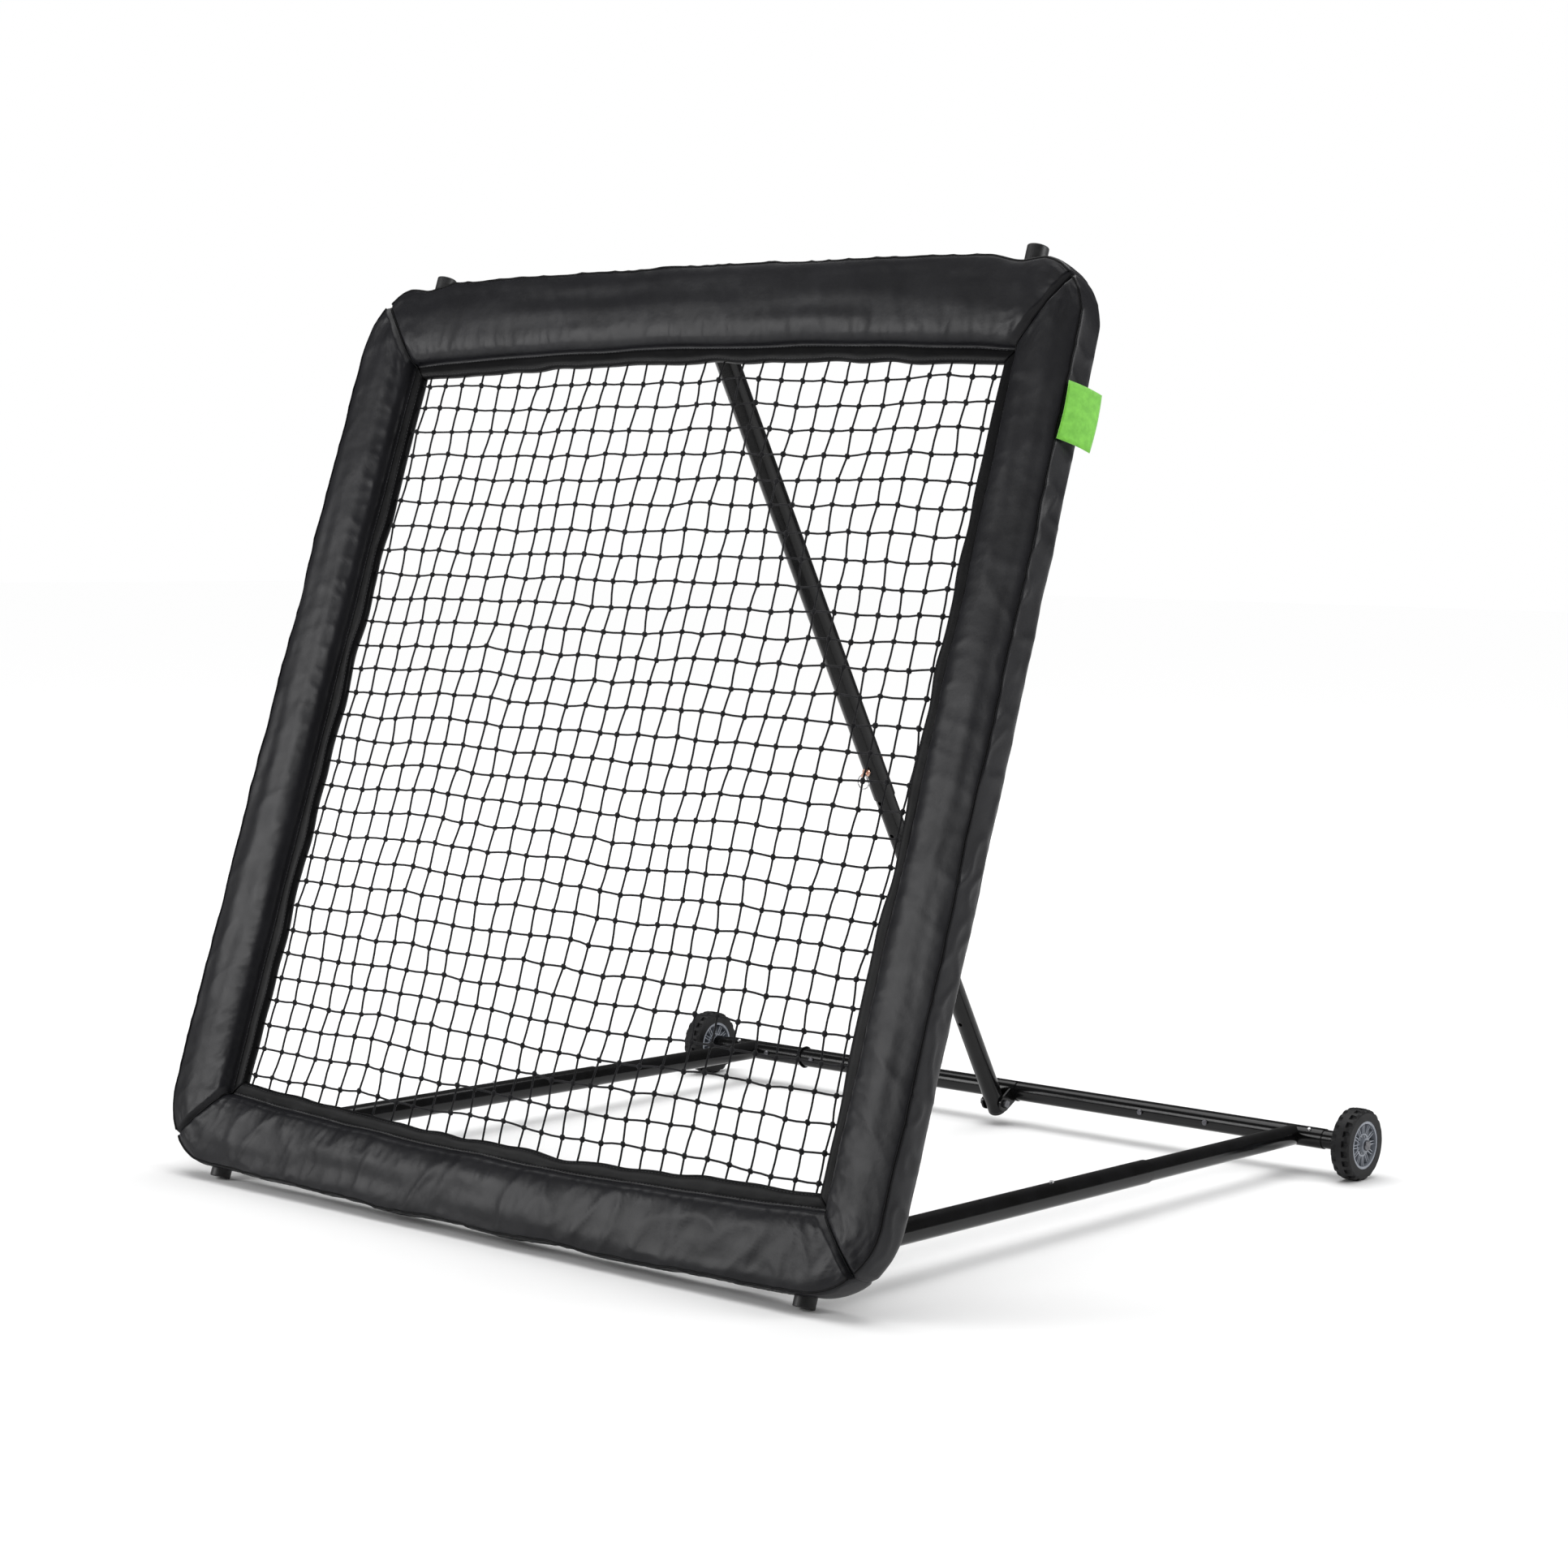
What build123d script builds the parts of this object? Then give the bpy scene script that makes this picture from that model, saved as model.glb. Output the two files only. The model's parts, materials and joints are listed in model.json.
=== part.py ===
from build123d import *

import os
from math import cos, hypot, radians, sin

# Pitch back rebounder: a padded square net frame that leans back on two telescopic
# base legs, a wheeled rear cross tube and one telescopic prop with a lock pin.
# Millimetres. +X is the right side seen from the player, -Y faces the player, +Z is up.
# The origin is on the ground under the middle of the whole object.

# ---- driving dimensions ------------------------------------------------------------

LEAN = 18.5  # net frame from upright, degrees
ORIGIN_BACK = 737.0  # from the frame's ground line back to the origin

NET_OPENING = 1337.0  # clear square between the pads
OPENING_LOW = 177.0  # its lower edge, measured up the leaning frame
PAD_SIDE = 820.0  # outer face of a side pad from the middle
PAD_LOW = 26.0
PAD_HIGH = 1688.0
PAD_FRONT = 36.0
PAD_BACK = 34.0
PAD_FLAP = 11.0  # half thickness at the inner edge
PAD_CORNER_R = 125.0
PAD_SEAM_GAP = 0.2
PAD_ROUND = 16.0  # along the outer edges
MITRE_REACH = 1.2  # carries each mitre line past the rounded corner
WELL_DEPTH = 8.0
TAG_LOW = 1377.0
TAG_HIGH = 1472.0
TAG_T = 2.4
LEG_WELL_D = 118.0
PROP_WELL_D = 126.0
PROP_WELL_RISE = 18.0  # above the prop's upper pivot
STUB_HOLE_D = 37.2

TUBE_D = 38.0
TUBE_BORE = 35.0
SLEEVE_D = 42.0  # outer tube of each telescopic pair
SLEEVE_BORE = 38.6
FRAME_SIDE = 782.0  # frame tube centre lines
FRAME_LOW = 75.0
FRAME_HIGH = 1637.0
BEND_R = 80.0
ELBOW_RUN = 600.0  # where the elbows meet the top and bottom tubes
ELBOW_RISE = 140.0
SPIGOT_D = 34.8
SPIGOT_BORE = 31.0
SPIGOT_L = 60.0

STUB_SIDE = 680.0
STUB_D = 32.0
STUB_BORE = 28.0
CAP_D = 36.0
CAP_L = 34.0
CAP_END = 6.0
FOOT_TIP = 3.5  # foot cap's end, up the frame from the ground line
TOP_TIP = 1714.0

MESH = 45.0
MESH_CELLS = 31
TWINE = 3.0
BORDER_D = 6.0
LOOP_STRAP = 2.4
LOOP_WIDTH = 5.0
LOOPS_PER_SIDE = 10
LOOP_SPAN = 580.0
LOOP_REACH = 90.0  # from the tube inwards, past the border cord

LEG_SIDE = 661.0
PIVOT_RISE = 97.6  # front pivot, up the frame
PIVOT_BEHIND = 52.0  # and behind it
LEG_SLEEVE_END = 939.0
LEG_INNER_START = 624.0
LEG_BUTTON = 664.0
LEG_HOLE_PITCH = 202.0

CROSS_BACK = 1437.0
WHEEL_R = 66.0
TEE_END = 726.0
TEE_RIGHT_START = 371.0
TEE_LEFT_START = 523.0
BELL_R = 23.0
BELL_L = 10.0
CROSS_BOLTS = (-614.0, -492.0, 330.0, 477.0)
JOINER_REACH = 32.0

PROP_TOP_RISE = 1587.0
PROP_TOP_BEHIND = 50.0
PROP_OFFSET = 44.0  # prop axis in front of the cross tube axis
PROP_MOUTH = 731.0  # along the prop from its lower pivot
PROP_FIRST_HOLE = 193.0
PROP_HOLE_PITCH = 75.75
PROP_HOLES = 8
PROP_PIN = PROP_FIRST_HOLE + PROP_HOLES * PROP_HOLE_PITCH
PROP_INNER_TOP = 850.0

SCREW_D = 5.0
SCREW_HOLE_D = 5.4
SCREW_INSET = 30.0
BOLT_R = 5.0
BOLT_FIT = 0.05
BOLT_HEAD_R = 8.0
BOLT_HEAD_H = 6.0
NUT_FLATS_R = 8.5
EAR_T = 4.0
NUT_H = 7.0
WASHER_T = 2.5
WASHER_R = 23.0
FREE_EYE_R = 18.0  # the prop's upper eye is open, see the washers
PIN_R = 4.0
PIN_CLEAR = 0.3
PIN_EYE = 33.0  # the ring's hole, in front of the prop's axis
RING_R = 13.0
RING_WIRE = 1.2

PLUG_D = 34.6
PLUG_INNER_START = 655.0
PLUG_END = 767.0
WHEEL_MID = 791.0
TYRE_W = 38.0
RIM_R = 44.0
HUB_R = 13.0
HUB_W = 40.0
TREADS = 22
GROOVE_R = 6.0
GROOVE_OUT = 1.0  # groove centres, outside the tread
GROOVE_L = 13.0  # in from each side face
AXLE_R = 5.0
SPOKES = 12

# ---- frames of reference -----------------------------------------------------------

LEAN_SIN = sin(radians(LEAN))
LEAN_COS = cos(radians(LEAN))
net_plane = Plane(origin=(0, -ORIGIN_BACK, 0), x_dir=(1, 0, 0), z_dir=(0, -LEAN_COS, LEAN_SIN))
FRONTWARD = net_plane.z_dir
UPWARD = net_plane.y_dir
OPENING_HIGH = OPENING_LOW + NET_OPENING
NET_MID = OPENING_LOW + NET_OPENING / 2
FRAME_MID = (FRAME_LOW + FRAME_HIGH) / 2


def on_frame(side, rise, front=0.0):
    """A point of the leaning frame: across, up the frame and out of its front."""
    return net_plane.from_local_coords(Vector(side, rise, front))


def on_base(x, back, z):
    """A point given by its distance behind the frame's ground line."""
    return Vector(x, back - ORIGIN_BACK, z)


def side_plane(x):
    """An upright plane facing +X, whose own axes are the world's Y and Z."""
    return Plane(origin=(x, 0, 0), x_dir=(0, 1, 0), z_dir=(1, 0, 0))


def yz(point):
    return (point.Y, point.Z)


pivot = on_frame(0, PIVOT_RISE, -PIVOT_BEHIND)
cross_axis = on_base(0, CROSS_BACK, WHEEL_R)
prop_top = on_frame(0, PROP_TOP_RISE, -PROP_TOP_BEHIND)


def tangent_pivot(centre, far_point, offset):
    """The point at a right angle from centre to the line that it makes with far_point."""
    reach = far_point - centre
    length = hypot(reach.Y, reach.Z)
    turn = offset / length
    along = Vector(0, reach.Y / length, reach.Z / length)
    across = Vector(0, -along.Z, along.Y)
    return centre + along * (offset * turn) + across * (offset * (1 - turn * turn) ** 0.5)


prop_foot = tangent_pivot(cross_axis, prop_top, PROP_OFFSET)
prop_dir = (prop_top - prop_foot).normalized()
prop_front = Vector(0, -prop_dir.Z, prop_dir.Y)
prop_length = (prop_top - prop_foot).length
leg_dir = (cross_axis - pivot).normalized()


def on_prop(along, across=0.0):
    return prop_foot + prop_dir * along + prop_front * across


def on_leg(side, back, up=0.0):
    """A point of a base leg's axis, at a distance behind the frame's ground line."""
    share = (back - ORIGIN_BACK - pivot.Y) / (cross_axis.Y - pivot.Y)
    point = pivot + (cross_axis - pivot) * share
    return Vector(side * LEG_SIDE, point.Y, point.Z) + Vector(0, -leg_dir.Z, leg_dir.Y) * up


def keep(part, label):
    part.label = label
    export_step(part, f"parts/{label}.step")


os.makedirs("parts", exist_ok=True)

# ---- tubes -------------------------------------------------------------------------


def add_rod(start, end, diameter, mode=Mode.ADD):
    """A round bar between two points, in the part being built."""
    with BuildSketch(Plane(origin=start, z_dir=end - start)) as profile:
        Circle(diameter / 2)
    extrude(profile.sketch, amount=(end - start).length, mode=mode)


def add_quarter_bend(corner, back, onward, bend_r, diameter, mode=Mode.ADD):
    """A quarter bend round a corner: back points to where it comes from, onward to where it goes."""
    start = corner + back * bend_r
    centre = corner + (back + onward) * bend_r
    with BuildSketch(Plane(origin=start, z_dir=back * -1)) as profile:
        Circle(diameter / 2)
    revolve(
        profile.sketch,
        axis=Axis(centre, onward.cross(back)),
        revolution_arc=90,
        mode=mode,
    )


def frame_tube(start, end):
    """A straight frame tube with a screw hole in its back near each end."""
    along = (end - start).normalized()
    with BuildPart() as tube:
        add_rod(start, end, TUBE_D)
        add_rod(start, end, TUBE_BORE, Mode.SUBTRACT)
        for hole in (start + along * SCREW_INSET, end - along * SCREW_INSET):
            add_rod(hole, hole - FRONTWARD * TUBE_D, SCREW_HOLE_D, Mode.SUBTRACT)
    return tube.part


elbow_low = FRAME_LOW + ELBOW_RISE
elbow_high = FRAME_HIGH - ELBOW_RISE
keep(frame_tube(on_frame(-ELBOW_RUN, FRAME_HIGH), on_frame(ELBOW_RUN, FRAME_HIGH)), "frame_top_tube")
keep(frame_tube(on_frame(-ELBOW_RUN, FRAME_LOW), on_frame(ELBOW_RUN, FRAME_LOW)), "frame_bottom_tube")
for side, word in ((-1, "left"), (1, "right")):
    low_end = on_frame(side * FRAME_SIDE, elbow_low)
    high_end = on_frame(side * FRAME_SIDE, elbow_high)
    keep(frame_tube(low_end, high_end), f"frame_{word}_tube")

frame_joints = []


def corner_elbow(side, end):
    """A bent corner with a spigot at each end and the stub that carries a cap."""
    rise = FRAME_HIGH if end > 0 else FRAME_LOW
    run_end = on_frame(side * ELBOW_RUN, rise)
    rise_end = on_frame(side * FRAME_SIDE, rise - end * ELBOW_RISE)
    corner = on_frame(side * FRAME_SIDE, rise)
    tip = TOP_TIP - CAP_END if end > 0 else FOOT_TIP + CAP_END
    stub_root = on_frame(side * STUB_SIDE, rise)
    stub_wall = on_frame(side * STUB_SIDE, rise + end * TUBE_D / 2)
    stub_tip = on_frame(side * STUB_SIDE, tip)
    inward = (run_end - corner).normalized()
    along = (rise_end - corner).normalized()
    bend_start = corner + inward * BEND_R
    bend_end = corner + along * BEND_R
    with BuildPart() as elbow:
        add_rod(run_end, bend_start, TUBE_D)
        add_quarter_bend(corner, inward, along, BEND_R, TUBE_D)
        add_rod(bend_end, rise_end, TUBE_D)
        add_rod(stub_root, stub_tip, STUB_D)
        add_rod(run_end + inward * SPIGOT_L, run_end, SPIGOT_D)
        add_rod(rise_end, rise_end + along * SPIGOT_L, SPIGOT_D)
        add_rod(stub_wall, stub_tip, STUB_BORE, Mode.SUBTRACT)
        add_rod(run_end + inward * SPIGOT_L, bend_start, SPIGOT_BORE, Mode.SUBTRACT)
        add_quarter_bend(corner, inward, along, BEND_R, SPIGOT_BORE, Mode.SUBTRACT)
        add_rod(bend_end, rise_end + along * SPIGOT_L, SPIGOT_BORE, Mode.SUBTRACT)
        for hole in (run_end + inward * SCREW_INSET, rise_end + along * SCREW_INSET):
            add_rod(hole, hole - FRONTWARD * TUBE_D, SCREW_HOLE_D, Mode.SUBTRACT)
            frame_joints.append(hole)
    return elbow.part


for side, word in ((-1, "left"), (1, "right")):
    keep(corner_elbow(side, 1), f"top_{word}_elbow")
    keep(corner_elbow(side, -1), f"bottom_{word}_elbow")

with BuildPart() as frame_screws:
    for joint in frame_joints:
        seat = joint - FRONTWARD * (TUBE_D / 2 + 0.05)
        add_rod(seat + FRONTWARD * SCREW_D, seat, SCREW_D)
        add_rod(seat, seat - FRONTWARD * 2.2, 9.0)
keep(frame_screws.part, "frame_screws")

# ---- stub caps and feet ------------------------------------------------------------


def stub_caps(end):
    """Two soft caps over the stubs. The lower pair are the feet, cut flat on the ground."""
    tip = TOP_TIP if end > 0 else FOOT_TIP
    with BuildPart() as caps:
        for side in (-1, 1):
            outer = on_frame(side * STUB_SIDE, tip)
            floor_of_cap = on_frame(side * STUB_SIDE, tip - end * CAP_END)
            mouth = on_frame(side * STUB_SIDE, tip - end * CAP_L)
            add_rod(mouth, outer, CAP_D)
            add_rod(floor_of_cap, mouth, STUB_D + 0.1, Mode.SUBTRACT)
        rims = caps.edges().filter_by(GeomType.CIRCLE).group_by(SortBy.RADIUS)[-1]
        tips = rims.sort_by(Axis(net_plane.origin, UPWARD))
        fillet(tips[-2:] if end > 0 else tips[:2], radius=2.0)
        if end < 0:
            with BuildSketch(Plane.XY):
                with Locations((0, -ORIGIN_BACK)):
                    Rectangle(2 * FRAME_SIDE, 200)
            extrude(amount=-60, mode=Mode.SUBTRACT)
    return caps.part


keep(stub_caps(1), "top_caps")
keep(stub_caps(-1), "foot_caps")

# ---- net, its border cord and the elastic loops that tension it ---------------------

NET_HALF = MESH * MESH_CELLS / 2 + TWINE / 2
BORDER_HALF = NET_HALF + BORDER_D / 2 + LOOP_STRAP + 0.6

# The knotted mesh is one thin sheet here.
with BuildPart() as net:
    with BuildSketch(net_plane):
        with Locations((0, NET_MID)):
            RectangleRounded(2 * NET_HALF, 2 * NET_HALF, 12)
    extrude(amount=TWINE / 2, both=True)
keep(net.part, "net")


def frame_ring(half_width, low, high, bend_r, diameter):
    """A round bar that follows a rounded rectangle in the frame's plane."""
    right = Vector(1, 0, 0)
    corners = (
        (on_frame(half_width, low), right * -1, UPWARD),
        (on_frame(half_width, high), UPWARD * -1, right * -1),
        (on_frame(-half_width, high), right, UPWARD * -1),
        (on_frame(-half_width, low), UPWARD, right),
    )
    with BuildPart() as ring:
        for i, (corner, back, onward) in enumerate(corners):
            following = corners[(i + 1) % 4][0]
            add_quarter_bend(corner, back, onward, bend_r, diameter)
            add_rod(corner + onward * bend_r, following - onward * bend_r, diameter)
    return ring.part


keep(
    frame_ring(BORDER_HALF, NET_MID - BORDER_HALF, NET_MID + BORDER_HALF, 14.0, BORDER_D),
    "net_border_cord",
)


def strap_plane(outward, centre):
    """A plane across a frame tube: its x runs outwards and its y to the front."""
    return Plane(origin=centre, x_dir=outward, z_dir=outward.cross(FRONTWARD))


def loop_stations(span):
    """Evenly spaced places along one side, none of them in the middle."""
    return [span * (2 * i + 1 - LOOPS_PER_SIDE) / LOOPS_PER_SIDE for i in range(LOOPS_PER_SIDE)]


TUBE_HUG = TUBE_D / 2 + 0.4
CORD_HUG = BORDER_D / 2 + 0.3

with BuildPart() as elastic_loops:
    places = []
    for station in loop_stations(LOOP_SPAN):
        gap_high = FRAME_HIGH - NET_MID - BORDER_HALF
        gap_low = NET_MID - BORDER_HALF - FRAME_LOW
        places.append((UPWARD, on_frame(station, FRAME_HIGH), gap_high))
        places.append((UPWARD * -1, on_frame(station, FRAME_LOW), gap_low))
        for side in (-1, 1):
            gap = FRAME_SIDE - BORDER_HALF
            centre = on_frame(side * FRAME_SIDE, NET_MID + station)
            places.append((Vector(side, 0, 0), centre, gap))
    for outward, centre, gap in places:
        for extra, mode in ((LOOP_STRAP, Mode.ADD), (0.0, Mode.SUBTRACT)):
            with BuildSketch(strap_plane(outward, centre)):
                Circle(TUBE_HUG + extra)
                with Locations((-gap, 0)):
                    Circle(CORD_HUG + extra)
                make_hull()
            extrude(amount=LOOP_WIDTH / 2, both=True, mode=mode)
keep(elastic_loops.part, "elastic_loops")

# ---- pads --------------------------------------------------------------------------

CHANNEL_R = TUBE_HUG + LOOP_STRAP + 0.6
SLIT = CORD_HUG + LOOP_STRAP + 0.6
tube_channel = frame_ring(FRAME_SIDE, FRAME_LOW, FRAME_HIGH, BEND_R, 2 * CHANNEL_R + 3)

def pad_section(depth):
    """Across a pad: thin at the flap, full over the tube, with soft outer edges."""
    with BuildLine() as section:
        Polyline(
            (0, PAD_FLAP),
            (36, PAD_FRONT - 6),
            (76, PAD_FRONT),
            (depth, PAD_FRONT),
            (depth, -PAD_BACK),
            (76, -PAD_BACK),
            (36, -PAD_BACK + 6),
            (0, -PAD_FLAP),
            close=True,
        )
    make_face(section.edges())


def sleeve_channel(tube_at):
    """The hollow inside a pad: round the tube, narrowing to the slit that the net loops use."""
    with BuildSketch() as channel:
        with Locations((tube_at, 0)):
            Circle(CHANNEL_R)
        with Locations((tube_at - LOOP_REACH, 0)):
            Circle(SLIT)
        make_hull()
        with Locations((tube_at - LOOP_REACH - PAD_FRONT, 0)):
            Rectangle(2 * PAD_FRONT, 2 * SLIT)
    return channel.sketch


def pad(outward, edge, depth, outline, cuts):
    """One padded sleeve: its section run along the bar, mitred and rounded by the outline."""
    across = Plane(origin=edge, x_dir=outward, z_dir=outward.cross(FRONTWARD))
    tube_at = FRAME_SIDE - NET_OPENING / 2
    if outward.X == 0:
        rise = FRAME_HIGH if outward.Z > 0 else FRAME_LOW
        tube_at = abs(rise - (OPENING_HIGH if outward.Z > 0 else OPENING_LOW))
    with BuildPart() as bar:
        with BuildSketch(across):
            pad_section(depth)
        extrude(amount=PAD_HIGH / 2, both=True)
        long_edges = bar.edges().filter_by(Axis(edge, across.z_dir))
        fillet(long_edges.sort_by(Axis(edge, outward))[-2:], radius=PAD_ROUND)
        with BuildSketch(net_plane):
            with Locations((0, (PAD_LOW + PAD_HIGH) / 2)):
                RectangleRounded(2 * PAD_SIDE, PAD_HIGH - PAD_LOW, PAD_CORNER_R)
            with BuildSketch(net_plane, mode=Mode.INTERSECT):
                with BuildLine():
                    Polyline(*outline, close=True)
                make_face()
                offset(amount=-PAD_SEAM_GAP)
        extrude(amount=PAD_FRONT + PAD_BACK, both=True, mode=Mode.INTERSECT)
        for start, end, diameter in cuts:
            add_rod(start, end, diameter, Mode.SUBTRACT)
        hollow = across * sleeve_channel(tube_at)
        extrude(hollow, amount=PAD_HIGH / 2, both=True, mode=Mode.SUBTRACT)
        add(tube_channel, mode=Mode.SUBTRACT)
    return bar.part


half = NET_OPENING / 2
reach_side = (PAD_SIDE - half) * MITRE_REACH
reach_high = (PAD_HIGH - OPENING_HIGH) * MITRE_REACH
reach_low = (OPENING_LOW - PAD_LOW) * MITRE_REACH


def stub_holes(rise, tip):
    holes = []
    for side in (-1, 1):
        holes.append((on_frame(side * STUB_SIDE, rise), on_frame(side * STUB_SIDE, tip), STUB_HOLE_D))
    return holes


def back_well(side_at, rise, behind, diameter):
    """A round clearance in a pad's back for a bracket and the tube end that it carries."""
    return (on_frame(side_at, rise, -behind), on_frame(side_at, rise, -PAD_BACK * 2), diameter)


high_outline = [
    (-half, OPENING_HIGH),
    (half, OPENING_HIGH),
    (half + reach_side, OPENING_HIGH + reach_high),
    (-half - reach_side, OPENING_HIGH + reach_high),
]
low_outline = [
    (-half, OPENING_LOW),
    (half, OPENING_LOW),
    (half + reach_side, OPENING_LOW - reach_low),
    (-half - reach_side, OPENING_LOW - reach_low),
]
high_cuts = stub_holes(FRAME_HIGH, PAD_HIGH + 5)
high_cuts += [back_well(0, PROP_TOP_RISE + PROP_WELL_RISE, WELL_DEPTH, PROP_WELL_D)]
low_cuts = stub_holes(FRAME_LOW, PAD_LOW - 5)
for side in (-1, 1):
    low_cuts.append(back_well(side * LEG_SIDE, PIVOT_RISE, WELL_DEPTH, LEG_WELL_D))
high_pad = pad(UPWARD, on_frame(0, OPENING_HIGH), PAD_HIGH - OPENING_HIGH, high_outline, high_cuts)
keep(high_pad, "pad_top")
low_pad = pad(UPWARD * -1, on_frame(0, OPENING_LOW), OPENING_LOW - PAD_LOW, low_outline, low_cuts)
keep(low_pad, "pad_bottom")
for side, word in ((-1, "left"), (1, "right")):
    outline = [
        (side * half, OPENING_LOW),
        (side * half, OPENING_HIGH),
        (side * (half + reach_side), OPENING_HIGH + reach_high),
        (side * (half + reach_side), OPENING_LOW - reach_low),
    ]
    edge = on_frame(side * half, FRAME_MID)
    keep(pad(Vector(side, 0, 0), edge, PAD_SIDE - half, outline, []), f"pad_{word}")

# A plain folded cloth tag sewn to the outer seam of the right pad.
with BuildPart() as side_tag:
    with BuildSketch(side_plane(PAD_SIDE + 0.3)):
        with BuildLine():
            Polyline(
                yz(on_frame(0, TAG_LOW, 24)),
                yz(on_frame(0, TAG_HIGH, 24)),
                yz(on_frame(0, TAG_HIGH, -40)),
                yz(on_frame(0, TAG_LOW, -40)),
                close=True,
            )
        make_face()
    extrude(amount=TAG_T)
keep(side_tag.part, "side_tag")

# ---- brackets ----------------------------------------------------------------------


def bracket(x_mid, gap, root, root_r, eye, eye_r, hole_r, tube_r, web_face, web_half):
    """Two ears from a tube to a pivot, joined by a web that lies against the tube."""
    half_gap = gap / 2
    with BuildPart() as ears:
        for x in (x_mid - half_gap - EAR_T, x_mid + half_gap):
            with BuildSketch(side_plane(x)):
                with Locations(yz(root)):
                    Circle(root_r)
                with Locations(yz(eye)):
                    Circle(eye_r)
                make_hull()
            extrude(amount=EAR_T)
        toward = Vector(0, *yz(web_face)).normalized()
        web_plane = Plane(origin=root + Vector(x_mid, 0, 0), x_dir=(1, 0, 0), z_dir=toward)
        with BuildSketch(web_plane.offset(tube_r)):
            Rectangle(gap + 2 * EAR_T, 2 * web_half)
        extrude(amount=EAR_T)
        for centre, radius in ((root, tube_r), (eye, hole_r)):
            with BuildSketch(side_plane(x_mid - gap)):
                with Locations(yz(centre)):
                    Circle(radius)
            extrude(amount=2 * gap, mode=Mode.SUBTRACT)
    return ears.part


SLEEVE_GAP = SLEEVE_D + 1.0
TUBE_HOLD = TUBE_D / 2 + 0.05
for side, word in ((-1, "left"), (1, "right")):
    clevis = bracket(
        side * LEG_SIDE,
        SLEEVE_GAP,
        on_frame(0, FRAME_LOW),
        14,
        pivot,
        15,
        BOLT_R + BOLT_FIT,
        TUBE_HOLD,
        FRONTWARD * -1,
        13,
    )
    keep(clevis, f"leg_clevis_{word}")
top_clevis = bracket(
    0, SLEEVE_GAP, on_frame(0, FRAME_HIGH), 14, prop_top, 25, FREE_EYE_R, TUBE_HOLD, FRONTWARD * -1, 12
)
keep(top_clevis, "prop_clevis")

with BuildPart() as prop_bracket:
    prop_gap = TUBE_D + 1.2
    for x in (-prop_gap / 2 - EAR_T, prop_gap / 2):
        with BuildSketch(side_plane(x)):
            with Locations(yz(cross_axis)):
                Circle(16)
            with Locations(yz(prop_foot)):
                Circle(15)
            make_hull()
        extrude(amount=EAR_T)
    with BuildSketch(side_plane(-30)):
        with Locations(yz(cross_axis)):
            Circle(TUBE_HOLD + 2)
        with Locations(yz(cross_axis - prop_front * TUBE_D)):
            Circle(TUBE_D, mode=Mode.SUBTRACT)
    extrude(amount=60)
    with BuildSketch(side_plane(-40)):
        with Locations(yz(cross_axis)):
            Circle(TUBE_HOLD)
        with Locations(yz(prop_foot)):
            Circle(BOLT_R + BOLT_FIT)
    extrude(amount=80, mode=Mode.SUBTRACT)
keep(prop_bracket.part, "prop_bracket")

# ---- base legs ---------------------------------------------------------------------

slot_half = PIN_R + 0.4
for side, word in ((-1, "left"), (1, "right")):
    start = on_leg(side, ORIGIN_BACK + pivot.Y) - leg_dir * 18.0
    end = on_leg(side, LEG_SLEEVE_END)
    with BuildPart() as sleeve:
        add_rod(start, end, SLEEVE_D)
        add_rod(start, end, SLEEVE_BORE, Mode.SUBTRACT)
        bolt_at = on_leg(side, ORIGIN_BACK + pivot.Y)
        across = Vector(SLEEVE_D, 0, 0)
        add_rod(bolt_at - across, bolt_at + across, 2 * (BOLT_R + BOLT_FIT), Mode.SUBTRACT)
        middle = on_leg(side, LEG_BUTTON)
        up = on_leg(side, LEG_BUTTON, 1.0) - middle
        with BuildSketch(Plane(origin=middle, x_dir=leg_dir, z_dir=up)):
            SlotCenterToCenter(2 * LEG_HOLE_PITCH, 2 * slot_half)
        extrude(amount=SLEEVE_D, mode=Mode.SUBTRACT)
    keep(sleeve.part, f"front_leg_{word}")

# ---- rear corners: inner leg tube welded to its part of the cross tube ---------------


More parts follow.
